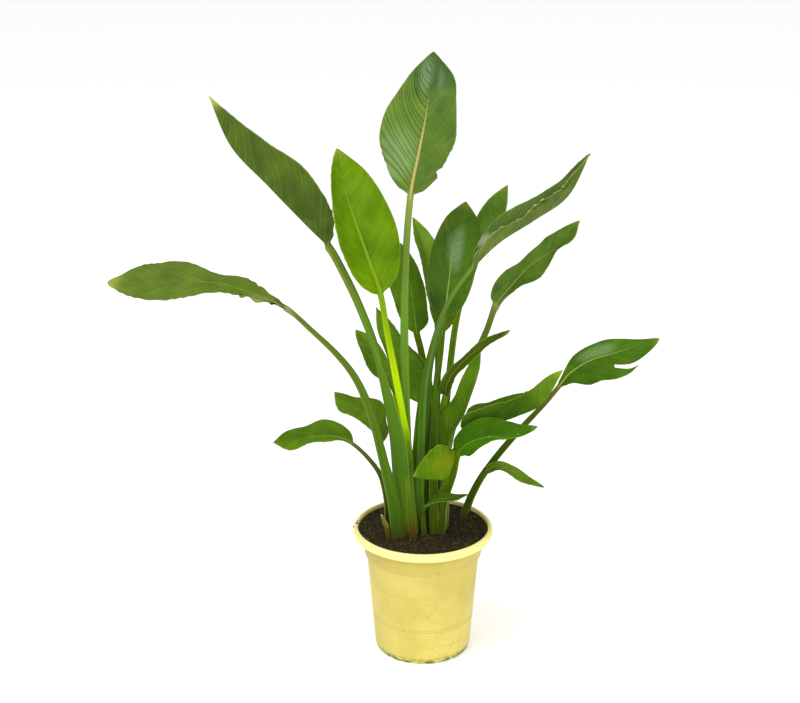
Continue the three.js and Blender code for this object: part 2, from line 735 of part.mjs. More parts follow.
// Lumpy soil that fills the pot, a small gap clear of its wall and floor
function soilGeometry() {
  const lip = pot.height - pot.rimHeight;
  // Outline from the soil's edge down to its underside
  const sides = [
    [pot.mouthRadius - soil.gap, lip + 2.6],
    [pot.collarTopRadius - pot.wall - soil.gap, lip - 2.4],
    [pot.shoulderRadius - pot.wall - soil.gap, pot.collarHeight - 2],
    [potOuterRadius(pot.floor) - pot.wall - soil.gap, pot.floor + soil.gap],
  ];
  const top = (radius, angle) => {
    const mound = soil.crown * Math.cos((radius / pot.mouthRadius) * Math.PI * 0.5);
    const lumps = Math.sin(radius * 0.16) * (Math.sin(3 * angle) + Math.sin(5 * angle + radius * 0.09 + 1));
    return soil.level - soil.crown + mound + soil.lump * lumps * 0.5;
  };
  const positions = [0, 0, top(0, 0)];
  const index = [];
  const addRing = (heightAt, radius) => {
    for (let k = 0; k < soil.spokes; k += 1) {
      const angle = (k / soil.spokes) * 2 * Math.PI;
      positions.push(radius * Math.cos(angle), radius * Math.sin(angle), heightAt(radius, angle));
    }
  };
  for (let ring = 1; ring <= soil.rings; ring += 1) {
    addRing(top, (sides[0][0] * ring) / soil.rings);
  }
  for (const [radius, z] of sides) {
    addRing(() => z, radius);
  }
  const rows = soil.rings + sides.length;
  for (let k = 0; k < soil.spokes; k += 1) {
    const next = (k + 1) % soil.spokes;
    index.push(0, 1 + k, 1 + next);
    for (let row = 0; row < rows - 1; row += 1) {
      const a = 1 + row * soil.spokes + k;
      const b = 1 + row * soil.spokes + next;
      index.push(a, a + soil.spokes, b, b, a + soil.spokes, b + soil.spokes);
    }
  }
  const centre = positions.length / 3;
  positions.push(0, 0, pot.floor + soil.gap);
  const last = 1 + (rows - 1) * soil.spokes;
  for (let k = 0; k < soil.spokes; k += 1) {
    index.push(centre, last + ((k + 1) % soil.spokes), last + k);
  }
  const geometry = new THREE.BufferGeometry();
  geometry.setAttribute("position", new THREE.Float32BufferAttribute(positions, 3));
  geometry.setIndex(index);
  let body = toManifold(geometry);
  for (const leaf of leaves) {
    body = body.subtract(toManifold(footHoleGeometry(leaf)));
  }
  return toGeometry(body);
}

// ---- Assembly ----

const plant = new THREE.Group();
plant.name = "potted_bird_of_paradise";
plant.add(namedMesh("pot", potGeometry(), 0xe8da75, 0.45));
plant.add(namedMesh("soil", soilGeometry(), 0x3a2a1e, 0.95));
for (const leaf of leaves) {
  plant.add(namedMesh(leaf.name, leafGeometry(leaf), leaf.colour, 0.4));
}

export default plant;
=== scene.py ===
import math

import bmesh
import bpy
import numpy as np
from mathutils import Matrix, Vector, noise


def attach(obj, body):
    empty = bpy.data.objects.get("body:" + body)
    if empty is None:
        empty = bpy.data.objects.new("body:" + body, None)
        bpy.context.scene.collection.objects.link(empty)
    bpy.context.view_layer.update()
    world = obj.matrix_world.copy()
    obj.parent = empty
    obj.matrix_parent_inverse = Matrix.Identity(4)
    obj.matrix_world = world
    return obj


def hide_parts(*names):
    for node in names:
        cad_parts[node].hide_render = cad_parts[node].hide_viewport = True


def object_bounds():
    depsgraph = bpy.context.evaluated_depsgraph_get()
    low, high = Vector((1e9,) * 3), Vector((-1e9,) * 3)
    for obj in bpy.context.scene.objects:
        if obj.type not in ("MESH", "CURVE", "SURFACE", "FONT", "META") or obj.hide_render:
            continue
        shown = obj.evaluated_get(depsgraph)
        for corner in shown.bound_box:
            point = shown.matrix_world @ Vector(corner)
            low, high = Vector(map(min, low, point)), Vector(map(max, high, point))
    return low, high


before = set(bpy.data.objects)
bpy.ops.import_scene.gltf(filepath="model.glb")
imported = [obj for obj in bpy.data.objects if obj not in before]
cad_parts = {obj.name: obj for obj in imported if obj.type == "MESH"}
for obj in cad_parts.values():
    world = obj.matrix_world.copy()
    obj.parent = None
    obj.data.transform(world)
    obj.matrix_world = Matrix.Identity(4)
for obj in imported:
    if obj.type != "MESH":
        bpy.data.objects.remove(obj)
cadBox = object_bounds()
mm = 0.001


def linear(hexColour):  # sRGB hex to the linear colour that the sockets take
    parts = [int(hexColour[i:i + 2], 16) / 255 for i in (1, 3, 5)]
    return [c / 12.92 if c <= 0.04045 else ((c + 0.055) / 1.055) ** 2.4 for c in parts] + [1]


def newMaterial(name):
    material = bpy.data.materials.new(name)
    material.use_nodes = True
    material.node_tree.nodes.clear()
    return material, material.node_tree


def addNode(tree, kind, settings=None, inputs=None):  # one node, its settings and its links
    node = tree.nodes.new("ShaderNode" + kind)
    for key, value in (settings or {}).items():
        if key == "stops":
            ramp = node.color_ramp.elements
            while len(ramp) < len(value):
                ramp.new(0.5)
            for stop, (position, colour) in zip(ramp, value):
                stop.position = position
                stop.color = linear(colour)
        else:
            setattr(node, key, value)
    for key, value in (inputs or {}).items():
        if isinstance(value, bpy.types.Node):
            value = next(s for s in value.outputs if s.enabled)
        if isinstance(value, bpy.types.NodeSocket):
            tree.links.new(value, node.inputs[key])
        elif isinstance(value, str):
            node.inputs[key].default_value = linear(value)
        else:
            node.inputs[key].default_value = value
    return node


def mathNode(tree, operation, *values):
    return addNode(tree, "Math", {"operation": operation}, dict(enumerate(values)))


def rangeNode(tree, value, low, high, start=0.0, end=1.0, kind="LINEAR"):  # low to high becomes start to end
    return addNode(tree, "MapRange", {"interpolation_type": kind}, {
        0: value, 1: low, 2: high, 3: start, 4: end})


def softNode(tree, value, low, high, start=0.0, end=1.0):  # the same, eased at both ends
    return rangeNode(tree, value, low, high, start, end, "SMOOTHSTEP")


def mixNode(tree, share, first, second):
    return addNode(tree, "Mix", {"data_type": "RGBA"}, {0: share, 6: first, 7: second})


def noiseNode(tree, place, scale, detail):  # scale: cells per metre, where the place is in metres
    return addNode(tree, "TexNoise", {}, {"Vector": place, "Scale": scale, "Detail": detail})


def shadeNode(tree, colour, value, hue=0.5):
    return addNode(tree, "HueSaturation", {}, {"Color": colour, "Value": value, "Hue": hue})


def partsNode(tree, vector):
    return addNode(tree, "SeparateXYZ", {}, {0: vector}).outputs


def finishSkin(tree, colour, rough, height, strength, depth, ior, shine):  # depth: of the relief, in mm
    bump = addNode(tree, "Bump", {}, {"Height": height, "Strength": strength, "Distance": depth * mm})
    shader = addNode(tree, "BsdfPrincipled", {}, {
        "Base Color": colour, "Roughness": rough, "Normal": bump, "IOR": ior, "Specular IOR Level": shine})
    addNode(tree, "OutputMaterial", {}, {"Surface": shader})


def looseObject(name, bm):  # a finished mesh as an object of the scene
    mesh = bpy.data.meshes.new(name)
    bm.to_mesh(mesh)
    bm.free()
    made = bpy.data.objects.new(name, mesh)
    bpy.context.scene.collection.objects.link(made)
    return made


def addPiece(name, bm, material, nodes=()):  # a finished mesh becomes a piece that rides and replaces
    for face in bm.faces:
        face.smooth = True
    piece = looseObject(name, bm)
    piece.data.materials.append(material)
    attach(piece, "root")
    if nodes:
        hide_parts(*nodes)
    return piece


def smooth(t):
    t = np.clip(t, 0, 1)
    return t * t * (3 - 2 * t)


def faceOrder(face):  # a number that no two faces of a turned piece share
    first, second, *_, last = sorted(vert.index for vert in face.verts)
    return (first * 1e5 + second) * 1e5 + last


def lathe(outline, steps):  # (radius, height) points in mm, spun round the pot's axis
    bm = bmesh.new()
    points = [bm.verts.new((r * mm, 0, z * mm)) for r, z in outline]
    lines = [bm.edges.new(pair) for pair in zip(points, points[1:])]
    bmesh.ops.spin(bm, geom=points + lines, axis=(0, 0, 1), cent=(0, 0, 0), dvec=(0, 0, 0),
                   angle=2 * math.pi, steps=steps, use_merge=True)
    bmesh.ops.remove_doubles(bm, verts=bm.verts, dist=1e-6)
    bm.verts.index_update()
    bm.faces.sort(key=faceOrder)  # spin leaves them in another order on every run
    bmesh.ops.recalc_face_normals(bm, faces=bm.faces)
    return bm


# The photograph's view: a little above the plant, looking down on it
view = {"place": (-0.028, -1.8, 1.019), "tilt": 70.55, "lens": 73.35, "sensor": 36}
camera = bpy.data.cameras.new("camera")
camera.lens = view["lens"]
camera.sensor_width = view["sensor"]
cameraObject = bpy.data.objects.new("camera", camera)
cameraObject.location = view["place"]
cameraObject.rotation_euler = (math.radians(view["tilt"]), 0, 0)
bpy.context.scene.collection.objects.link(cameraObject)
bpy.context.scene.camera = cameraObject

# Big soft boxes in a white room: where they stand and aim, how wide they are, and their power in watts
studio = {
    "room": 0.72,
    "aim": (0, 0, 0.4),
    "boxes": {
        "front": {"place": (0.95, -2.25, 0.85), "width": 1.1, "power": 20},
        "top": {"place": (-0.9, -0.7, 2.3), "width": 1.3, "power": 30},
    },
    "paper": {"colour": "#ffffff", "glow": 0.24, "size": 14},
}
for name, box in studio["boxes"].items():
    lamp = bpy.data.lights.new(name + "_light", "AREA")
    lamp.shape = "SQUARE"
    lamp.size = box["width"]
    lamp.energy = box["power"]
    lampObject = bpy.data.objects.new(name + "_light", lamp)
    lampObject.location = box["place"]
    aim = Vector(studio["aim"]) - Vector(box["place"])
    lampObject.rotation_euler = aim.to_track_quat("-Z", "Y").to_euler()
    bpy.context.scene.collection.objects.link(lampObject)

world = bpy.data.worlds.new("studio")
world.use_nodes = True
world.node_tree.nodes["Background"].inputs["Color"].default_value = (1, 1, 1, 1)
world.node_tree.nodes["Background"].inputs["Strength"].default_value = studio["room"]
bpy.context.scene.world = world
bpy.context.scene.view_settings.view_transform = "Standard"

bm = bmesh.new()
bmesh.ops.create_grid(bm, x_segments=1, y_segments=1, size=studio["paper"]["size"])
floor = looseObject("floor", bm)
paper, tree = newMaterial("white_studio_paper")
shader = addNode(tree, "BsdfPrincipled", {}, {
    "Base Color": studio["paper"]["colour"], "Roughness": 0.95, "Specular IOR Level": 0.1,
    "Emission Color": studio["paper"]["colour"], "Emission Strength": studio["paper"]["glow"]})
addNode(tree, "OutputMaterial", {}, {"Surface": shader})
floor.data.materials.append(paper)
print("camera, light and floor are set")

# Living leaf skin: a waxed cuticle over soft tissue (IOR 1.42), satin on top and duller beneath. Side
# veins lie in the furrows of shallow pleats, about 7 mm apart on the big blades, with finer ones between.
# Pairs hold the left and the right half. furrow: how far the furrows darken the upper skin, partly the
# darker vein in each and partly painted shade in the crease. ridge: how far a painted highlight lightens its
# ridges. halves: painted light and shade, one half lit more than the other. stripe: paler veins of the lower
# skin. rib, margin, tip: their colours and how far they cover. stalk: tones from the foot (0) to the blade
# (1), darker low down partly as painted shade among the crowded stalks. sheathEdge: how far a pale edge
# lines the lower stalk. gloss: roughness. shine: specular level. specks: cover of the flecks.
greenTone = {
    "slot": "green_leaf", "top": "#4b6a16", "under": "#4c6420", "stripe": "#647c38", "stripeCover": 0.5,
    "furrow": [0.12, 0.12], "ridge": [0.04, 0.04], "halves": [1.0, 1.0], "rib": "#84983c", "ribCover": 0.75,
    "ribEnd": 0.9, "margin": "#788c34", "marginWidth": 0.9, "marginCover": 0.5, "tip": "#7c8a30",
    "tipCover": 0.5, "stalk": [(0.1, "#3c5a0a"), (0.4, "#456c0a"), (0.7, "#4f6c14"), (1.0, "#5c7620")],
    "sheathEdge": 0.25, "gloss": 0.42, "shine": 0.06, "specks": 0.0, "patches": []}
oliveTone = {**greenTone, "slot": "olive_leaf", "top": "#4a621c", "under": "#465a14"}
brightTone = {**greenTone, "slot": "bright_leaf_skin", "top": "#5e7f08", "under": "#6a8c10"}
deepTone = {**greenTone, "slot": "dark_leaf", "top": "#436307", "under": "#42591a"}
limeTone = {**greenTone, "slot": "yellowing_leaf", "top": "#64840a", "under": "#5a7a06"}
strawTone = {**greenTone, "slot": "dry_sheath", "top": "#8c7c30", "under": "#8c7c30"}


def patch(across, along, radius, colour, cover, stretch=(1, 1)):  # mm from the midrib and the blade's start
    return {"at": (across, along), "radius": radius, "colour": colour, "cover": cover, "stretch": stretch}


# cloud, grain: noise cells per metre, 28 mm clouds over a 1 mm grain. strip: cells per vein. streak: cells
# per mm across the stalk. uneven: how far each of them, and the fine veins, lighten or darken the skin
# (rib: the grain on the midrib). sheath, soiled, speck: the pale edge, the soiled foot and the flecks.
# speckCells, speckSize: one fleck in every 8 mm cell, and its start and end as shares of the cell.
skinLook = {"cloud": 36, "grain": 900, "strip": 0.8, "streak": 0.7, "ior": 1.42, "fineVeins": 3,
            "uneven": {"cloud": 0.18, "strip": 0.14, "streak": 0.14, "rib": 0.07, "fine": 0.045},
            "sheath": "#b9bd72", "soiled": "#4a4218", "speck": "#d6deb0", "speckCells": 120,
            "speckSize": (0.05, 0.09), "bump": 0.28}


def markNode(tree, name):  # the three marks that a leaf's points carry under one name
    return partsNode(tree, addNode(tree, "Attribute", {"attribute_name": name}).outputs["Vector"])


def unevenness(tree, noiseValue, key):  # a noise turned into a lightness around 1
    spread = skinLook["uneven"][key]
    return rangeNode(tree, noiseValue, 0.3, 0.7, 1 - spread, 1 + spread)


def patchedSkin(tree, tone, blade, across, along, cloud):  # painted sheen, painted shade, yellowing and browning, with ragged borders
    for spot in tone["patches"]:
        (x, y), (wide, tall) = spot["at"], spot["stretch"]
        here = addNode(tree, "CombineXYZ", {}, {0: across, 1: along})
        scaled = addNode(tree, "VectorMath", {"operation": "MULTIPLY"}, {0: here, 1: (wide, tall, 0)})
        far = addNode(tree, "VectorMath", {"operation": "DISTANCE"}, {0: scaled, 1: (x * wide, y * tall, 0)})
        ragged = rangeNode(tree, cloud, 0.3, 0.7, -0.3, 0.3)
        reach = mathNode(tree, "MULTIPLY_ADD", far.outputs["Value"], 1 / spot["radius"], ragged)
        blade = mixNode(tree, softNode(tree, reach, 0.3, 1.1, spot["cover"], 0.0), blade, spot["colour"])
    return blade


def stalkSkin(tree, tone, marks, objectPlace, cloud):  # drawn out in streaks, with a thin pale sheath edge
    height = mathNode(tree, "ADD", marks["at"], 1.0)
    # tones up the stalk; the darker foot is partly painted shade among the crowded stalks
    stalk = addNode(tree, "ValToRGB", {"stops": tone["stalk"]}, {0: height})
    drawn = addNode(tree, "CombineXYZ", {}, {
        0: marks["across"], 1: mathNode(tree, "MULTIPLY", marks["along"], 0.014), 2: marks["seed"]})
    streak = noiseNode(tree, drawn, skinLook["streak"], 3.0)
    stalk = shadeNode(tree, stalk, unevenness(tree, streak, "streak"))
    sheath = softNode(tree, marks["edge"], 0.15, 0.8, tone["sheathEdge"], 0.0)
    sheath = mathNode(tree, "MULTIPLY", sheath, rangeNode(tree, height, 0.45, 0.75, 1.0, 0.0))
    stalk = mixNode(tree, sheath, stalk, skinLook["sheath"])
    soiled = mathNode(tree, "MULTIPLY_ADD", cloud, 0.03, partsNode(tree, objectPlace)["Z"])
    soiled = rangeNode(tree, soiled, 0.170, 0.190, 0.55, 0.0)  # soil clings just above the pot
    return mixNode(tree, soiled, stalk, skinLook["soiled"]), streak


def leafSkin(name, tone):
    skin, tree = newMaterial(name)
    phase, ribShare, edge = markNode(tree, "leafVein")
    across, along, upper = markNode(tree, "leafPlace")
    at, stalkness, seed = markNode(tree, "leafPart")
    objectPlace = addNode(tree, "TexCoord").outputs["Object"]
    cloud = noiseNode(tree, objectPlace, skinLook["cloud"], 5.0)
    grain = noiseNode(tree, objectPlace, skinLook["grain"], 2.0)

    def perHalf(key, sign=1):  # a value that changes from the left to the right half at the midrib
        return softNode(tree, across, -4.0, 4.0, sign * tone[key][0], sign * tone[key][1])

    # side veins: a line in each furrow, every one a little different, and fine ones between them
    fold = mathNode(tree, "PINGPONG", phase, 0.5)
    crest = softNode(tree, fold, 0.2, 0.5)
    own = addNode(tree, "TexNoise", {"noise_dimensions": "1D"}, {"W": phase, "Scale": 0.9, "Detail": 1.0})
    own = rangeNode(tree, own, 0.35, 0.65, 0.3, 1.0)
    line = mathNode(tree, "MULTIPLY", softNode(tree, fold, 0.0, 0.3, 1.0, 0.0), own)
    fine = mathNode(tree, "SINE", mathNode(tree, "MULTIPLY", phase, 2 * math.pi * skinLook["fineVeins"]))

    stripe = mathNode(tree, "MULTIPLY", line, tone["stripeCover"])
    below = mixNode(tree, stripe, tone["under"], tone["stripe"])
    blade = patchedSkin(tree, tone, mixNode(tree, upper, below, tone["top"]), across, along, cloud)

    # the furrow line darkens the upper skin: partly the darker vein, partly painted shade in the crease
    dark = mathNode(tree, "MULTIPLY", line, upper)
    shade = mathNode(tree, "MULTIPLY_ADD", dark, perHalf("furrow", -1), 1.0)
    # painted highlight along the pleat ridges
    shade = mathNode(tree, "MULTIPLY_ADD", crest, perHalf("ridge"), shade)
    shade = mathNode(tree, "MULTIPLY_ADD", fine, skinLook["uneven"]["fine"], shade)
    beside = softNode(tree, ribShare, 1.1, 2.4, -0.14, 0.0)  # painted shade in the dip where the skin meets the midrib
    # halves: painted light and shade, one half of the blade lit more than the other
    shade = mathNode(tree, "MULTIPLY", mathNode(tree, "ADD", shade, beside), perHalf("halves"))
    shade = mathNode(tree, "MULTIPLY", shade, unevenness(tree, cloud, "cloud"))
    strip = addNode(tree, "CombineXYZ", {}, {0: phase, 1: mathNode(tree, "MULTIPLY", across, 0.05), 2: seed})
    strip = noiseNode(tree, strip, skinLook["strip"], 3.0)  # strips between the veins differ
    shade = mathNode(tree, "MULTIPLY", shade, unevenness(tree, strip, "strip"))
    blade = shadeNode(tree, blade, shade, rangeNode(tree, cloud, 0.3, 0.7, 0.506, 0.494))

    margin = softNode(tree, edge, 0.1, tone["marginWidth"], tone["marginCover"], 0.0)
    blade = mixNode(tree, margin, blade, tone["margin"])
    blade = mixNode(tree, softNode(tree, at, 0.9, 1.0, 0.0, tone["tipCover"]), blade, tone["tip"])
    marks = {"at": at, "across": across, "along": along, "seed": seed, "edge": edge}
    stalk, streak = stalkSkin(tree, tone, marks, objectPlace, cloud)
    colour = mixNode(tree, stalkness, blade, stalk)

    # midrib: fades out below the tip, and down the channel of the stalk
    rib = softNode(tree, ribShare, 0.5, 1.1, tone["ribCover"], 0.0)
    fading = rangeNode(tree, at, 0.55 * tone["ribEnd"], tone["ribEnd"], 1.0, 0.0)
    rib = mathNode(tree, "MULTIPLY", rib, fading)
    rib = mathNode(tree, "MULTIPLY", rib, rangeNode(tree, at, -0.02, 0.0))
    ribTone = mixNode(tree, upper, tone["stalk"][-1][1], tone["rib"])
    colour = mixNode(tree, rib, colour, shadeNode(tree, ribTone, unevenness(tree, grain, "rib")))
    if tone["specks"]:  # tiny pale flecks of dust and sap
        fleck = addNode(tree, "TexVoronoi", {}, {"Vector": objectPlace, "Scale": skinLook["speckCells"]})
        shown = rangeNode(tree, fleck.outputs["Distance"], *skinLook["speckSize"], tone["specks"], 0.0)
        chosen = rangeNode(tree, partsNode(tree, fleck.outputs["Color"])["X"], 0.72, 0.78)
        colour = mixNode(tree, mathNode(tree, "MULTIPLY", shown, chosen), colour, skinLook["speck"])

    dull = rangeNode(tree, upper, 0.0, 1.0, tone["gloss"] + 0.14, tone["gloss"])
    rough = mathNode(tree, "MULTIPLY_ADD", cloud, 0.14, dull)
    rise = mathNode(tree, "MULTIPLY_ADD", fine, 0.1, mathNode(tree, "SUBTRACT", 1.0, line))
    rise = addNode(tree, "Mix", {}, {0: stalkness, 2: rise, 3: mathNode(tree, "MULTIPLY", streak, 1.4)})
    rise = mathNode(tree, "MULTIPLY_ADD", grain, 0.16, rise)
    finishSkin(tree, colour, rough, height=rise, strength=0.5, depth=skinLook["bump"], ior=skinLook["ior"],
               shine=tone["shine"])
    return skin


# Leaf shapes in millimetres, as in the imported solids. foot: where the stalk enters the soil. stalk and
# blade: points along the midrib. left and right: half-widths at the stations. face: which way the upper
# side looks at the foot, the start of the blade and the tip. fold, curl: degrees each half is folded up
# and bent out. wave: height, count and start of the margin's waves. thick: half-widths of the stalk at its
# foot, middle and top. vein: spacing of the pleats. pleat: their height on the left and the right half.
# sweep: how far the side veins run on towards the tip. lobe: how much wider each half starts. ruffle: the
# margin's fine ripple. ribWide: half-width of the midrib's pale line. knuckle: swelling under the blade.
# plump: how much deeper the stalk grows above its foot. edges: nibbled and frilled stretches of margin.
# tear: a notch in one margin, which keeps a share of the width. slit: a split from the margin inwards; row:
# where its vein leaves the midrib, keep: the share of the half that stays whole, drop: how far the lobe
# below it hangs, bite: how much narrower the blade is above it. sheath: the flap beside the lower stalk.
growth = {"rootHeight": 125, "collarRise": 43, "thickness": 0.8, "ribHalf": (2.4, 0.8), "ribRise": 0.45,
          "ribDepth": (3.2, 1.1), "stations": [0, 0.1, 0.25, 0.4, 0.55, 0.7, 0.85, 1], "tipStart": 0.94,
          "arc": math.radians(80), "columns": 16, "ribColumns": 3, "leastHalf": 1.2, "lobeReach": 0.025,
          "edgeFade": 0.03, "nibbleBeats": (141, 317), "frillLength": 2.1, "fullPleat": 22,
          "knuckleReach": 0.018, "noSlit": {"side": 1, "row": 2, "keep": 0.5, "drop": 0, "bite": 0},
          "slitReach": 0.09, "slitGap": 0.001, "closeRows": [0, 0.0004, 0.0016, 0.004, 0.008, 0.014],
          "evenFrom": 0.022, "pleatRows": 6, "stalkStep": 6, "blend": 0.035, "skinBlend": 0.03}
plainLeaf = {"vein": 5.0, "pleat": [0.25, 0.25], "sweep": 0.7, "lobe": [0, 0], "ruffle": 0.3, "ribWide": 1.0,
             "knuckle": 0, "plump": 1, "edges": [], "tear": None, "slit": None, "sheath": None}


def frayed(side, start, end, nibble, frill):
    return {"side": side, "from": start, "to": end, "nibble": nibble, "frill": frill}


def flap(side, start, end, width, skew=1.0):  # skew: over 1 is widest nearer its upper end
    return {"side": side, "from": start, "to": end, "width": width, "skew": skew}


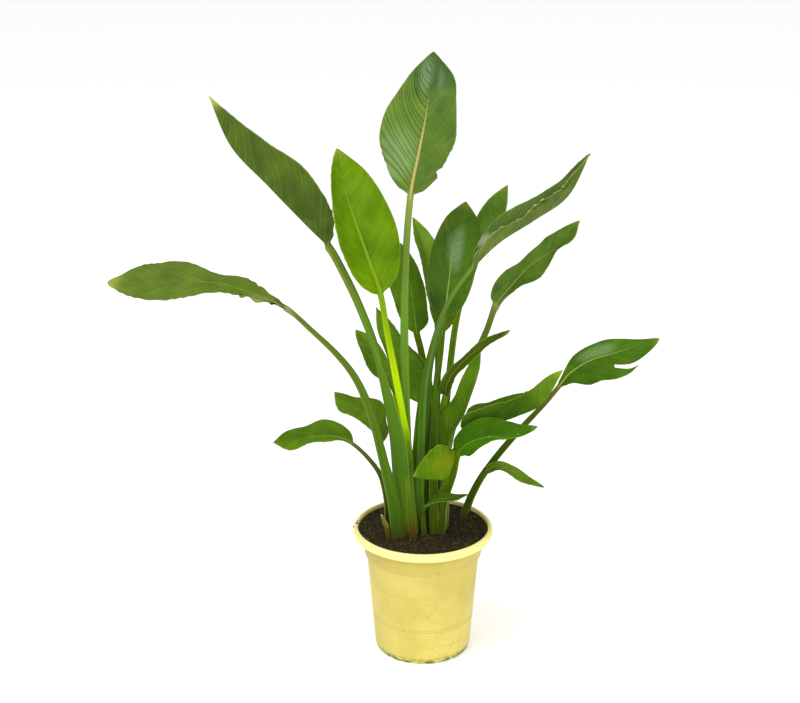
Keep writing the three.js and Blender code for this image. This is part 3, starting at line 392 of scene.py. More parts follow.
leaves = [
    {"name": "tall_leaf", "foot": [-8, -19],
     "stalk": [[-17, -21, 225], [-20, -22, 293], [-22, -23, 356], [-23, -24, 430], [-21, -23, 513],
         [-16, -20, 577]],
     "blade": [[-7, -19, 625], [2, -14, 673], [9, 2, 733]],
     "left": [6, 25, 41, 48, 45, 35, 21, 1], "right": [6, 22, 32, 38, 36, 31, 25, 1],
     "face": [[0, 1, 0], [-0.1, -1, 0.1], [-0.05, -1, 0.25]], "fold": [14, 6], "curl": 8,
     "wave": [1.6, 3.2, 0.1], "thick": [5.4, 5, 3.8],
     "tear": {"side": 1, "at": 0.21, "halfLength": 0.035, "keep": 0.84}, "vein": 6.5, "pleat": [1.0, 0.3],
     "ribWide": 2.2, "lobe": [0.35, 0.6], "sweep": 0.95,
     "edges": [frayed(-1, 0.12, 0.34, 1.6, 0.6), frayed(1, 0.02, 0.45, 1.5, 0.8)],
     "tone": {**greenTone, "shine": 0.28, "top": "#526f1c", "halves": [1.06, 0.87], "furrow": [0.5, 0.16],
         "ridge": [0.16, 0.0], "rib": "#b6a45a", "ribCover": 0.85, "ribEnd": 0.74, "margin": "#8a9846",
         "tip": "#3f5a14", "tipCover": 0.7,
         "stalk": [(0.1, "#48660a"), (0.3, "#5a800a"), (0.6, "#58800f"), (0.9, "#647f26"), (1.0, "#7b8634")],
         # painted shade on the domed top; the pale patch low on the left half and the two streaks near the
         # top are painted sheen
         "patches": [patch(6, 136, 38, "#35541c", 0.75), patch(-22, 42, 26, "#8fa86c", 0.3, (1, 0.7)),
             patch(-5, 134, 15, "#7f9a74", 0.4, (1.7, 0.6)),
             patch(12, 128, 11, "#7f9a74", 0.25, (1.9, 0.6))]}},
    {"name": "upper_left_leaf", "foot": [-24, -17],
     "stalk": [[-30, -19, 219], [-35, -26, 284], [-43, -28, 340], [-54, -28, 395], [-73, -22, 446],
         [-91, -16, 484], [-108, -12, 514]],
     "blade": [[-131, -8, 537], [-176, -2, 583], [-217, 2, 627], [-241, 6, 683]],
     "left": [5, 34, 46, 49, 43, 36, 21, 1], "right": [4, 22, 31, 35, 31, 25, 15, 1],
     "face": [[0.6, 0.6, 0], [0.75, -0.1, 0.62], [0.8, -0.1, 0.5]], "fold": [72, 74], "curl": 4,
     "wave": [1.5, 2.6, 0.4], "thick": [9, 7.4, 5.6],
     "plump": 1.5, "vein": 8.0, "pleat": [0.4, 0.4], "sheath": flap(-1, 0.0, 0.64, 15, 1.5),
     "edges": [frayed(-1, -0.03, 0.2, 2.0, 1.2)],
     "tone": {**oliveTone, "shine": 0.14, "under": "#445812", "stripe": "#5d7330", "margin": "#a3b06a",
         "tip": "#b4bb5a", "tipCover": 0.9,
         "stalk": [(0.1, "#566e0a"), (0.3, "#3f6804"), (0.5, "#4c7208"), (0.7, "#527416"), (1.0, "#6a8226")],
         "patches": [patch(-20, 70, 22, "#3c500e", 0.5, (1, 0.4))]}},
    {"name": "bright_leaf", "foot": [-10, -28],
     "stalk": [[-16, -30, 205], [-18, -34, 271], [-25, -36, 316], [-34, -37, 372], [-43, -36, 421],
         [-50, -34, 464]],
     "blade": [[-62, -33, 500], [-78, -32, 548], [-91, -26, 589], [-98, -14, 628]],
     "left": [5, 23, 35, 38, 31, 24, 15, 1], "right": [5, 27, 38, 42, 41, 36, 25, 1],
     "face": [[0, 1, 0], [0.45, -0.9, 0.2], [0.35, -0.9, 0.3]], "fold": [24, 18], "curl": 12,
     "wave": [1.2, 2.4, 0.6], "thick": [4.8, 4.6, 3.6],
     "vein": 7.0, "pleat": [0.12, 0.12], "ribWide": 3.0, "lobe": [0.5, 0.3],
     "edges": [frayed(1, 0.0, 0.3, 0.8, 1.5)],
     "tone": {**brightTone, "top": "#5a7e05", "halves": [1.04, 0.92], "furrow": [0.05, 0.05],
         "rib": "#7c9c24", "ribEnd": 0.95, "margin": "#97ae4a", "tip": "#8a9c3c",
         "stalk": [(0.1, "#57400a"), (0.2, "#48600a"), (0.35, "#4a7004"), (0.46, "#608804"),
             (0.54, "#a2c804"), (0.72, "#a6c803"), (0.9, "#80a204"), (1.0, "#6c8c0a")],
         # the second patch, near the tip, is a painted sheen
         "patches": [patch(-8, 24, 32, "#6f9206", 0.5), patch(12, 120, 26, "#6d8c1c", 0.4)]}},
    {"name": "far_left_leaf", "foot": [-25, -29],
     "stalk": [[-36, -31, 205], [-50, -38, 272], [-62, -44, 324], [-78, -48, 366], [-99, -51, 397],
         [-128, -54, 428], [-155, -56, 454]],
     "blade": [[-186, -57, 469], [-224, -58, 483], [-268, -58, 487], [-313, -55, 481], [-356, -50, 483]],
     "left": [3, 4, 11, 22, 30, 32, 24, 1], "right": [3, 8, 15, 13, 24, 28, 29, 1],
     "face": [[-0.2, 0.95, 0], [0.1, -0.5, 0.85], [0.1, -0.45, 0.9]], "fold": [16, 6], "curl": 6,
     "wave": [2, 2.4, 0.5], "thick": [9, 5, 3.2],
     "vein": 6.5, "pleat": [0.3, 0.3], "knuckle": 0.3, "ruffle": 0.5, "sweep": 0.9,
     "edges": [frayed(-1, -0.02, 0.32, 1.4, 2.2), frayed(1, -0.02, 0.28, 1.0, 2.2)],
     "tone": {**greenTone, "shine": 0.12, "top": "#556b1b", "halves": [1.08, 0.97], "rib": "#829240",
         "ribCover": 0.6, "margin": "#7c8a3a", "tip": "#93a03c", "tipCover": 0.8,
         "stalk": [(0.1, "#364e03"), (0.3, "#426604"), (0.5, "#4a680e"), (0.75, "#546c18"), (0.96, "#5c6c22"),
             (1.0, "#7e8a4e")],
         "patches": [patch(-6, 26, 11, "#7f9050", 0.5, (1, 0.4)), patch(3, 6, 6, "#3c4c12", 0.6, (1, 0.5))]}},
    {"name": "upper_right_leaf", "foot": [-0.4, -9],
     "stalk": [[-5, -15, 214], [-4, -25, 274], [-2, -31, 334], [3, -34, 375], [12, -37, 416], [27, -40, 459],
         [53, -42, 499]],
     "blade": [[83, -41, 529], [122, -36, 553], [159, -28, 578], [183, -18, 623]],
     "left": [4, 12, 22, 24, 22, 20, 13, 1], "right": [4, 13, 16, 15, 19, 19, 10, 1],
     "face": [[0, 1, 0], [-0.65, -0.05, 0.75], [-0.65, -0.05, 0.6]], "fold": [55, 55], "curl": 6,
     "wave": [1.8, 3.4, 0.2], "thick": [5.8, 5.6, 4.2],
     "vein": 6.0, "pleat": [0.4, 0.4], "ruffle": 0.5, "sweep": 1.0, "sheath": flap(-1, -0.25, 0.56, 6, 0.8),
     "edges": [frayed(1, 0.0, 0.82, 1.0, 1.1)],
     "tone": {**oliveTone, "shine": 0.25, "top": "#4c6619", "under": "#4a5e18", "stripe": "#76843c",
         "stripeCover": 0.75, "furrow": [0.3, 0.2], "margin": "#97a355", "marginWidth": 0.7,
         "marginCover": 0.7, "tip": "#a3a23a", "sheathEdge": 0.06,
         "stalk": [(0.1, "#486608"), (0.3, "#4a7606"), (0.5, "#426607"), (0.7, "#456712"), (1.0, "#557318")],
         # this whitish patch is a painted highlight
         "patches": [patch(-10, 30, 7, "#b9c8a4", 0.5, (1, 0.6))]}},
    {"name": "dark_middle_leaf", "foot": [2, 3],
     "stalk": [[4, 2, 205], [5, -1, 271], [5, -3, 322], [7, -2, 364], [14, 6, 394], [23, 13, 420]],
     "blade": [[29, 18, 463], [33, 22, 500], [41, 26, 529], [48, 32, 556]],
     "left": [5, 18, 25, 27, 26, 23, 17, 1], "right": [5, 18, 26, 30, 33, 31, 23, 1],
     "face": [[0, 1, 0], [0, -1, 0.15], [0, -1, 0.2]], "fold": [16, 10], "curl": 8, "wave": [1, 2, 0.3],
     "thick": [4.6, 4, 3.6],
     "ribWide": 1.3,
     "tone": {**deepTone, "shine": 0.1, "top": "#3e5c10", "halves": [0.98, 1.22], "rib": "#8da03c",
         "margin": "#6f8530",
         "stalk": [(0.1, "#3c5a06"), (0.4, "#446808"), (0.7, "#3c5a11"), (1.0, "#4a661c")],
         # the first, pale patch is a painted sheen
         "patches": [patch(3, 84, 16, "#7b966c", 0.45, (1.3, 0.5)), patch(0, 10, 26, "#2c440a", 0.5)]}},
    {"name": "small_back_leaf", "foot": [16, 20],
     "stalk": [[20, 22, 205], [25, 24, 277], [31, 29, 345], [36, 34, 391], [42, 39, 425]],
     "blade": [[49, 42, 450], [60, 48, 482], [77, 54, 522], [98, 58, 569]],
     "left": [3, 4, 7, 11, 17, 18, 13, 1], "right": [3, 3, 4, 9, 17, 17, 13, 1],
     "face": [[0, 1, 0], [-0.3, -0.9, 0.2], [-0.3, -0.9, 0.3]], "fold": [24, 20], "curl": 10,
     "wave": [1, 2, 0.2], "thick": [4.5, 4.4, 3.8],
     "tone": {**greenTone, "top": "#547420", "halves": [1.12, 1.0], "margin": "#a3b86a", "marginWidth": 1.3,
         "marginCover": 0.8, "stalk": [(0.1, "#44600a"), (0.6, "#5a7e0a"), (1.0, "#628214")]}},
    {"name": "dark_back_leaf", "foot": [-4, 23],
     "stalk": [[-1, 26, 205], [2, 32, 272], [3, 38, 334], [-3, 44, 370], [-8, 48, 390]],
     "blade": [[-12, 54, 423], [-18, 58, 459], [-27, 58, 499]],
     "left": [4, 14, 20, 23, 25, 23, 15, 1], "right": [4, 15, 17, 17, 16, 14, 8, 1],
     "face": [[0, 1, 0], [0, -1, 0.1], [0, -1, 0.2]], "fold": [12, 12], "curl": 8, "wave": [1.2, 2.5, 0.4],
     "thick": [5, 4.4, 4],
     "tone": {**deepTone, "top": "#4a6c0e", "halves": [1.25, 1.02],
         "stalk": [(0.1, "#3c5a06"), (1.0, "#547105")]}},
    {"name": "light_back_leaf", "foot": [8, 34],
     "stalk": [[12, 37, 205], [16, 46, 268], [18, 57, 341], [17, 66, 395]],
     "blade": [[12, 74, 431], [2, 82, 478], [-13, 88, 522]],
     "left": [3, 7, 10, 9, 10, 8, 7, 1], "right": [3, 12, 17, 21, 21, 19, 13, 1],
     "face": [[0, 1, 0], [0.2, -1, 0.1], [0.2, -1, 0.2]], "fold": [30, 30], "curl": 10, "wave": [1, 2.4, 0.1],
     "thick": [4.5, 4, 3.6],
     "tone": {**greenTone, "top": "#7c9e30", "halves": [0.85, 1.08], "margin": "#9fb85c"}},
    {"name": "right_leaf", "foot": [26, 13],
     "stalk": [[27, 14, 205], [31, 15, 260], [41, 17, 300], [53, 19, 333], [64, 22, 375], [75, 24, 403],
         [85, 26, 432]],
     "blade": [[100, 28, 452], [126, 28, 482], [152, 24, 501], [179, 18, 536]],
     "left": [6, 16, 17, 12, 14, 17, 12, 1], "right": [4, 4, 12, 22, 19, 5, 8, 1],
     "face": [[0, 1, 0], [-0.3, -0.85, 0.4], [-0.3, -0.8, 0.4]], "fold": [22, 20], "curl": 10,
     "wave": [2, 2.6, 0.3], "thick": [5, 4.4, 3.7],
     "vein": 6.0, "pleat": [0.3, 0.3], "knuckle": 0.35, "lobe": [0.5, 0.3],
     "tone": {**greenTone, "shine": 0.2, "top": "#4a6812", "tip": "#74902a",
         "stalk": [(0.1, "#3c5608"), (0.6, "#4c6410"), (0.93, "#566a18"), (0.98, "#667028"),
             (1.0, "#78843e")],
         "patches": [patch(-14, 14, 11, "#38500c", 0.6)]}},
    {"name": "split_right_leaf", "foot": [40, 34],
     "stalk": [[60, 46, 176], [73, 50, 201], [95, 54, 232], [122, 58, 264], [150, 62, 295], [167, 65, 316]],
     "blade": [[180, 67, 332], [203, 69, 347], [230, 69, 356], [258, 68, 366], [286, 66, 377]],
     "left": [4, 6, 15, 18, 19, 14, 6, 1], "right": [4, 12, 31, 35, 36, 33, 17, 1],
     "face": [[0, 1, 0], [-0.1, -0.7, 0.7], [-0.15, -0.7, 0.7]], "fold": [10, 6], "curl": 8,
     "wave": [1.6, 2.6, 0.1], "thick": [5.5, 4.2, 3],
     "vein": 6.0, "pleat": [0.4, 0.3], "ribWide": 1.2, "sweep": 1.05,
     "slit": {"side": 1, "row": 0.36, "keep": 0.58, "drop": 1.5, "bite": 0.25},
     "tone": {**greenTone, "top": "#42660c", "halves": [1.22, 1.05], "rib": "#98ae50", "ribCover": 0.85,
         "gloss": 0.3, "specks": 0.8,
         "stalk": [(0.1, "#2a4403"), (0.5, "#34500a"), (0.8, "#48580e"), (1.0, "#68682a")],
         # the second, pale patch is a painted sheen
         "patches": [patch(-6, 10, 28, "#304c06", 0.65), patch(-8, 62, 11, "#8ca272", 0.35, (1.3, 0.4))]}},
    {"name": "lower_right_leaf", "foot": [19.6, -8],
     "stalk": [[22, -11, 200], [29, -18, 240], [37, -25, 272], [47, -29, 292]],
     "blade": [[60, -33, 301], [82, -39, 310], [108, -44, 321], [136, -46, 337], [159, -44, 376]],
     "left": [5, 25, 26, 26, 24, 19, 13, 1], "right": [5, 24, 25, 27, 25, 26, 19, 1],
     "face": [[0, 1, 0], [-0.3, 0.2, 0.93], [-0.4, 0.15, 0.85]], "fold": [58, 60], "curl": 6,
     "wave": [2, 3, 0.2], "thick": [4.6, 4, 3.6],
     "vein": 6.0, "pleat": [0.2, 0.2], "sheath": flap(-1, -0.4, 0.7, 4),
     "edges": [frayed(1, 0.1, 0.7, 0.8, 0.8)],
     "tone": {**oliveTone, "under": "#345205", "stripe": "#456414", "top": "#3f5e07", "halves": [1.25, 1.04],
         "margin": "#8a9c40", "tip": "#8c9a1c", "tipCover": 0.8, "sheathEdge": 0.5,
         "stalk": [(0.1, "#3a5206"), (1.0, "#456410")], "patches": [patch(8, 128, 46, "#5c7c16", 0.65)]}},
    {"name": "bright_lower_leaf", "foot": [18, -22],
     "stalk": [[25, -22, 200], [35, -30, 240], [40, -42, 271]],
     "blade": [[52, -54, 290], [74, -62, 301], [94, -66, 302], [112, -69, 306], [129, -71, 318]],
     "left": [5, 14, 20, 23, 21, 18, 12, 1], "right": [5, 9, 18, 12, 3, 2, 2, 1],
     "face": [[0, 1, 0], [-0.2, -0.75, 0.65], [-0.2, -0.7, 0.7]], "fold": [12, 12], "curl": 6,
     "wave": [1.6, 2.2, 0.3], "thick": [5, 4.4, 4],
     "vein": 6.0, "pleat": [0.2, 0.2],
     "tone": {**brightTone, "top": "#355b04", "halves": [1.0, 1.42], "rib": "#6c8a24", "margin": "#6c8a24",
         "sheathEdge": 0.5, "specks": 0.5,
         "stalk": [(0.1, "#37480a"), (0.3, "#374a04"), (0.6, "#425c04"), (1.0, "#526a04")]}},
    {"name": "drooping_leaf", "foot": [38, 22], "stalk": [[56, 31, 176], [68, 28, 202], [77, 24, 220]],
     "blade": [[91, 16, 230], [107, 8, 227], [126, 0, 218], [146, -6, 212]],
     "left": [4, 6, 7, 7, 7, 6, 4, 1], "right": [4, 7, 8, 8, 8, 7, 5, 1],
     "face": [[0, 1, 0], [-0.1, -0.6, 0.8], [0.3, -0.6, 0.8]], "fold": [20, 20], "curl": 10,
     "wave": [1, 2, 0.3], "thick": [5, 4, 3],
     "vein": 4.5, "pleat": [0.2, 0.2],
     "tone": {**greenTone, "top": "#6a8a20", "stalk": [(0.1, "#2e3c08"), (0.6, "#3a5004"), (1.0, "#4c6405")],
         "patches": [patch(0, 4, 26, "#40600a", 0.8)]}},
    {"name": "low_left_leaf", "foot": [-43, -3],
     "stalk": [[-44, -3, 190], [-51, 2, 223], [-66, 6, 245], [-85, 11, 262]],
     "blade": [[-102, 14, 269], [-127, 17, 269], [-152, 17, 265], [-181, 14, 262]],
     "left": [3, 6, 9, 11, 14, 18, 15, 1], "right": [3, 12, 19, 21, 16, 15, 11, 1],
     "face": [[-0.5, 0.8, 0], [0, -0.5, 0.86], [0, -0.5, 0.86]], "fold": [20, 10], "curl": 8,
     "wave": [1.4, 2.2, 0.2], "thick": [4.5, 3.4, 2.6],
     "pleat": [0.2, 0.2],
     "tone": {**greenTone, "top": "#4c6c0c", "halves": [1.45, 1.0], "margin": "#84983a",
         "stalk": [(0.1, "#4a520e"), (0.6, "#4f5c16"), (1.0, "#5b6821")]}},
    {"name": "left_middle_leaf", "foot": [-28, -2], "stalk": [[-33, 3, 195], [-44, 12, 233], [-51, 20, 258]],
     "blade": [[-62, 28, 281], [-76, 36, 294], [-91, 44, 303], [-108, 52, 313]],
     "left": [4, 6, 7, 11, 18, 22, 16, 1], "right": [4, 13, 17, 26, 21, 11, 6, 1],
     "face": [[0, 1, 0], [0.3, -0.8, 0.5], [0.2, -0.6, 0.8]], "fold": [20, 16], "curl": 10,
     "wave": [1.4, 2.2, 0.2], "thick": [4.5, 4, 3.4],
     "pleat": [0.3, 0.3],
     "tone": {**greenTone, "top": "#516f12", "halves": [1.35, 1.05], "margin": "#8ea050"}},
    {"name": "left_inner_leaf", "foot": [-17, 6], "stalk": [[-24, 9, 205], [-29, 15, 270], [-33, 19, 322]],
     "blade": [[-45, 26, 350], [-61, 32, 374], [-81, 40, 397]],
     "left": [4, 6, 12, 19, 21, 16, 9, 1], "right": [4, 6, 8, 9, 10, 10, 8, 1],
     "face": [[0, 1, 0], [0.3, -0.9, 0.3], [0.3, -0.9, 0.3]], "fold": [22, 20], "curl": 10,
     "wave": [1.2, 2, 0.2], "thick": [4.5, 4, 3.6],
     "tone": {**greenTone, "top": "#567418", "halves": [1.12, 1.3],
         "stalk": [(0.1, "#3c5a06"), (0.5, "#456b03"), (0.7, "#5c8604"), (1.0, "#7ca80c")]}},
    {"name": "centre_leaf", "foot": [-5, 14], "stalk": [[-1, 14, 202], [7, 16, 262], [11, 21, 306]],
     "blade": [[3, 23, 342], [-9, 23, 368], [-31, 21, 398], [-56, 21, 431]],
     "left": [9, 28, 35, 36, 32, 24, 16, 1], "right": [4, 11, 14, 14, 8, 4, 3, 1],
     "face": [[0, 1, 0], [-0.5, -0.8, -0.33], [-0.5, -0.8, -0.3]], "fold": [22, 18], "curl": 6,
     "wave": [1.5, 2.4, 0.6], "thick": [5, 4.4, 4],
     "vein": 6.0,
     "tone": {**deepTone, "top": "#547a14", "halves": [1.08, 0.94],
         "stalk": [(0.1, "#3c5a06"), (1.0, "#466a08")]}},
    {"name": "short_right_leaf", "foot": [13, 1],
     "stalk": [[16, 5, 206], [20, 9, 262], [23, 12, 305], [26, 3, 327]],
     "blade": [[28, -7, 346], [37, -11, 364], [54, -13, 383], [76, -11, 400], [99, -8, 413]],
     "left": [5, 9, 8, 6, 6, 6, 4, 1], "right": [5, 9, 12, 11, 8, 7, 6, 1],
     "face": [[0, 1, 0], [-0.4, -0.9, 0.3], [-0.4, -0.8, 0.4]], "fold": [40, 30], "curl": 12,
     "wave": [1.6, 2.4, 0.2], "thick": [4.5, 4.6, 4.2],
     "pleat": [0.2, 0.2],
     "tone": {**greenTone, "top": "#465c0e", "under": "#4c6414", "margin": "#7c8a3c",
         "stalk": [(0.1, "#44620a"), (0.5, "#54780a"), (1.0, "#668e0a")],
         "patches": [patch(0, 3, 3, "#5a3a14", 0.8)]}},
    {"name": "narrow_leaf", "foot": [26, 0], "stalk": [[27, -1, 200], [25, -4, 226], [26, -6, 250]],
     "blade": [[31, -5, 281], [47, -3, 311], [58, 2, 346], [66, 8, 386]],
     "left": [5, 5, 4, 3, 3, 4, 4, 1], "right": [4, 14, 19, 20, 16, 14, 9, 1],
     "face": [[0, 1, 0], [0.2, 1, 0], [0.2, 1, 0]], "fold": [4, 14], "curl": 10, "wave": [1.2, 2, 0.2],
     "thick": [4.6, 4.6, 4.5],
     "vein": 4.5, "pleat": [0.12, 0.12],
     "tone": {**oliveTone, "under": "#547a0e", "stripe": "#5f7e2c", "stripeCover": 0.35, "margin": "#94a870",
         "sheathEdge": 0.5, "stalk": [(0.1, "#34480a"), (1.0, "#4c6c10")]}},
    {"name": "yellow_leaf", "foot": [10.4, -17], "stalk": [[13, -24, 195], [21, -35, 222], [26, -42, 238]],
     "blade": [[17, -50, 243], [2, -56, 246], [-13, -60, 250]],
     "left": [4, 34, 41, 45, 46, 40, 26, 1], "right": [4, 24, 30, 34, 34, 28, 18, 1],
     "face": [[0, 1, 0], [0, 0.1, 1], [0, 0.1, 1]], "fold": [74, 74], "curl": 4, "wave": [1, 1.5, 0.2],
     "thick": [4, 4, 3.6],
     "vein": 6.0, "pleat": [0.15, 0.15], "sheath": flap(-1, -0.4, 0.7, 3),
     "tone": {**limeTone, "under": "#466804", "stripe": "#60800a", "margin": "#a3b03c", "sheathEdge": 0.5,
         "stalk": [(0.1, "#3c5205"), (0.6, "#3f5504"), (1.0, "#4d6104")],
         "patches": [patch(-20, 14, 22, "#6e7c04", 0.65), patch(-30, 8, 6, "#7e6a20", 0.4),
             patch(-20, 60, 30, "#446403", 0.6)]}},
    {"name": "soil_leaf", "foot": [2, -18], "stalk": [[0, -27, 182], [2, -34, 200]],
     "blade": [[14, -45, 213], [28, -49, 217], [40, -51, 219], [53, -51, 224]],
     "left": [3, 6, 8, 9, 8, 6, 4, 1], "right": [3, 6, 7, 8, 8, 5, 3, 1],
     "face": [[0, 1, 0], [0, -0.3, 0.95], [0, -0.3, 0.95]], "fold": [16, 16], "curl": 8,
     "wave": [0.8, 2, 0.1], "thick": [3.5, 3.2, 3],
     "vein": 4.0, "pleat": [0.15, 0.15],
     "tone": {**greenTone, "top": "#3c5a05", "margin": "#6f8a40",
         "stalk": [(0.1, "#3c480c"), (0.6, "#46560f"), (1.0, "#3c5008")]}},
    {"name": "young_leaf", "foot": [10.4, -9],
     "stalk": [[11, -9, 215], [12, -9, 283], [14.5, -2, 336], [19.5, 14, 376], [22, 26, 399]],
     "blade": [[26, 32, 430], [32, 35, 468], [38, 38, 508]],
     "left": [4, 12, 19, 19, 17, 14, 9, 1], "right": [4, 11, 16, 15, 13, 11, 8, 1],
     "face": [[0, 1, 0], [-0.1, -1, 0.1], [-0.1, -1, 0.1]], "fold": [10, 12], "curl": 6,
     "wave": [1, 1.6, 0.2], "thick": [4, 4.2, 3.8],
     "pleat": [0.2, 0.2], "sheath": flap(1, -0.4, 0.6, 3),
     "tone": {**brightTone, "top": "#4f6c0c", "sheathEdge": 0.55,
         "stalk": [(0.1, "#48640a"), (0.3, "#4c7008"), (0.6, "#3c5c06"), (1.0, "#4e6d0e")]}},
    {"name": "dried_sheath", "foot": [-38, -31], "stalk": [[-44, -33, 172]],
     "blade": [[-47, -34, 179], [-50, -35, 190]],
     "left": [3, 3.4, 3.4, 3, 2.6, 2, 1.4, 1], "right": [3, 3.4, 3.4, 3, 2.6, 2, 1.4, 1],
     "face": [[0.3, 0.95, 0], [0.3, 0.95, 0], [0.3, 0.95, 0]], "fold": [30, 40], "curl": 8,
     "wave": [0.3, 1.5, 0.2], "thick": [3.2, 3, 3],
     "vein": 2.0, "pleat": [0.1, 0.1], "ruffle": 0.1, "sweep": 0.1,
     "tone": {**strawTone, "top": "#7a7428", "under": "#7a7428", "tip": "#cdb98a", "tipCover": 0.9,
         "margin": "#a89c58", "stalk": [(0.1, "#44460e"), (0.6, "#484c0e"), (1.0, "#545214")]}},
]


def catmullRom(points, t):  # t runs 0 to 1 over the whole row of points
    spans = len(points) - 1
    place = np.clip(t, 0, 1) * spans
    i = np.minimum(place.astype(int), spans - 1)
    w = (place - i)[:, None]
    padded = np.vstack([2 * points[0] - points[1], points, 2 * points[-1] - points[-2]])
    before, start, end, after = (padded[i + k] for k in range(4))
    a, b = 0.5 * (end - before), 0.5 * (after - start)
    return start + a * w + (3 * (end - start) - 2 * a - b) * w ** 2 + (2 * (start - end) + a + b) * w ** 3


def unit(vectors):
    return vectors / np.linalg.norm(vectors, axis=-1, keepdims=True)


def leafRoute(leaf, count=700):  # midrib points and section axes, evenly spaced from root to tip
    root = np.array([*leaf["foot"], growth["rootHeight"]], float)
    first = np.array(leaf["stalk"][0], float)
    collar = root + (first - root) * growth["collarRise"] / (first[2] - root[2])
    points = np.array([root, collar, *leaf["stalk"], *leaf["blade"]], float)
    steps = np.linspace(0, 1, 201)
    samples = catmullRom(points, steps)
    lengths = np.concatenate([[0], np.cumsum(np.linalg.norm(np.diff(samples, axis=0), axis=1))])
    total = lengths[-1]
    bladeStart = np.interp((1 + len(leaf["stalk"])) / (len(points) - 1), steps, lengths) / total
    at = np.linspace(0, 1, count)
    t = np.interp(at * total, lengths, steps)
    origin = catmullRom(points, t)
    along = unit(catmullRom(points, np.minimum(t + 1e-4, 1)) - catmullRom(points, np.maximum(t - 1e-4, 0)))
    atFoot, atBlade, atTip = (unit(np.array(f, float)) for f in leaf["face"])
    if atFoot @ atBlade < 0:  # keeps a round stalk from wringing itself thin halfway up
        atFoot = -atFoot
    low = smooth(at / bladeStart)[:, None]
    high = np.clip((at - bladeStart) / (1 - bladeStart), 0, 1)[:, None]
    up = np.where(at[:, None] < bladeStart,
                  atFoot + (atBlade - atFoot) * low, atBlade + (atTip - atBlade) * high)
    up = unit(up - along * np.sum(up * along, axis=1, keepdims=True))
    return {"at": at, "origin": origin, "up": up, "across": np.cross(along, up),
            "total": total, "blade": bladeStart}


def onRoute(route, key, at):
    return np.stack([np.interp(at, route["at"], route[key][:, i]) for i in range(3)], axis=-1)


def readProfile(values, at):  # the same cubic through the width stations as the solids use
    stations = np.array(growth["stations"])
    values = np.array(values, float)
    slope = np.empty(len(values))
    for k in range(len(values)):
        a, b = max(k - 1, 0), min(k + 1, len(values) - 1)
        slope[k] = (values[b] - values[a]) / (stations[b] - stations[a])
    i = np.clip(np.searchsorted(stations, at), 1, len(values) - 1)
    span = stations[i] - stations[i - 1]
    t = (at - stations[i - 1]) / span
    rise = values[i] - values[i - 1]
    start, end = slope[i - 1] * span, slope[i] * span
    return (values[i - 1] + start * t + (3 * rise - 2 * start - end) * t ** 2
            + (start + end - 2 * rise) * t ** 3)


def edgeWork(leaf, side, at, kind):  # depth in mm of the nibbles or frills along one margin
    depth = np.zeros_like(at)
    fade = growth["edgeFade"]
    for stretch in leaf["edges"]:
        if stretch["side"] == side:
            inside = smooth((at - stretch["from"]) / fade) * smooth((stretch["to"] - at) / fade)
            depth = depth + stretch[kind] * inside
    return depth


def halfWidths(leaf, side, at):  # half-width of one side, notched and nibbled, ending in a point
    low = np.minimum(at, growth["tipStart"])
    width = np.maximum(readProfile(leaf["left"] if side < 0 else leaf["right"], low), growth["leastHalf"])
    width = width * (1 + leaf["lobe"][int(side > 0)] * np.exp(-at / growth["lobeReach"]))
    tear = leaf["tear"]
    if tear and tear["side"] == side:
        depth = smooth(1 - np.abs(at - tear["at"]) / tear["halfLength"])
        width = width * (1 - (1 - tear["keep"]) * depth)
    slow, quick = growth["nibbleBeats"]
    beat = 0.5 + 0.3 * np.sin(at * slow + 1) + 0.2 * np.sin(at * quick)
    width = width - edgeWork(leaf, side, at, "nibble") * beat
    taper = np.clip((1 - at) / (1 - growth["tipStart"]), 0, 1) ** 0.85
    return width * taper


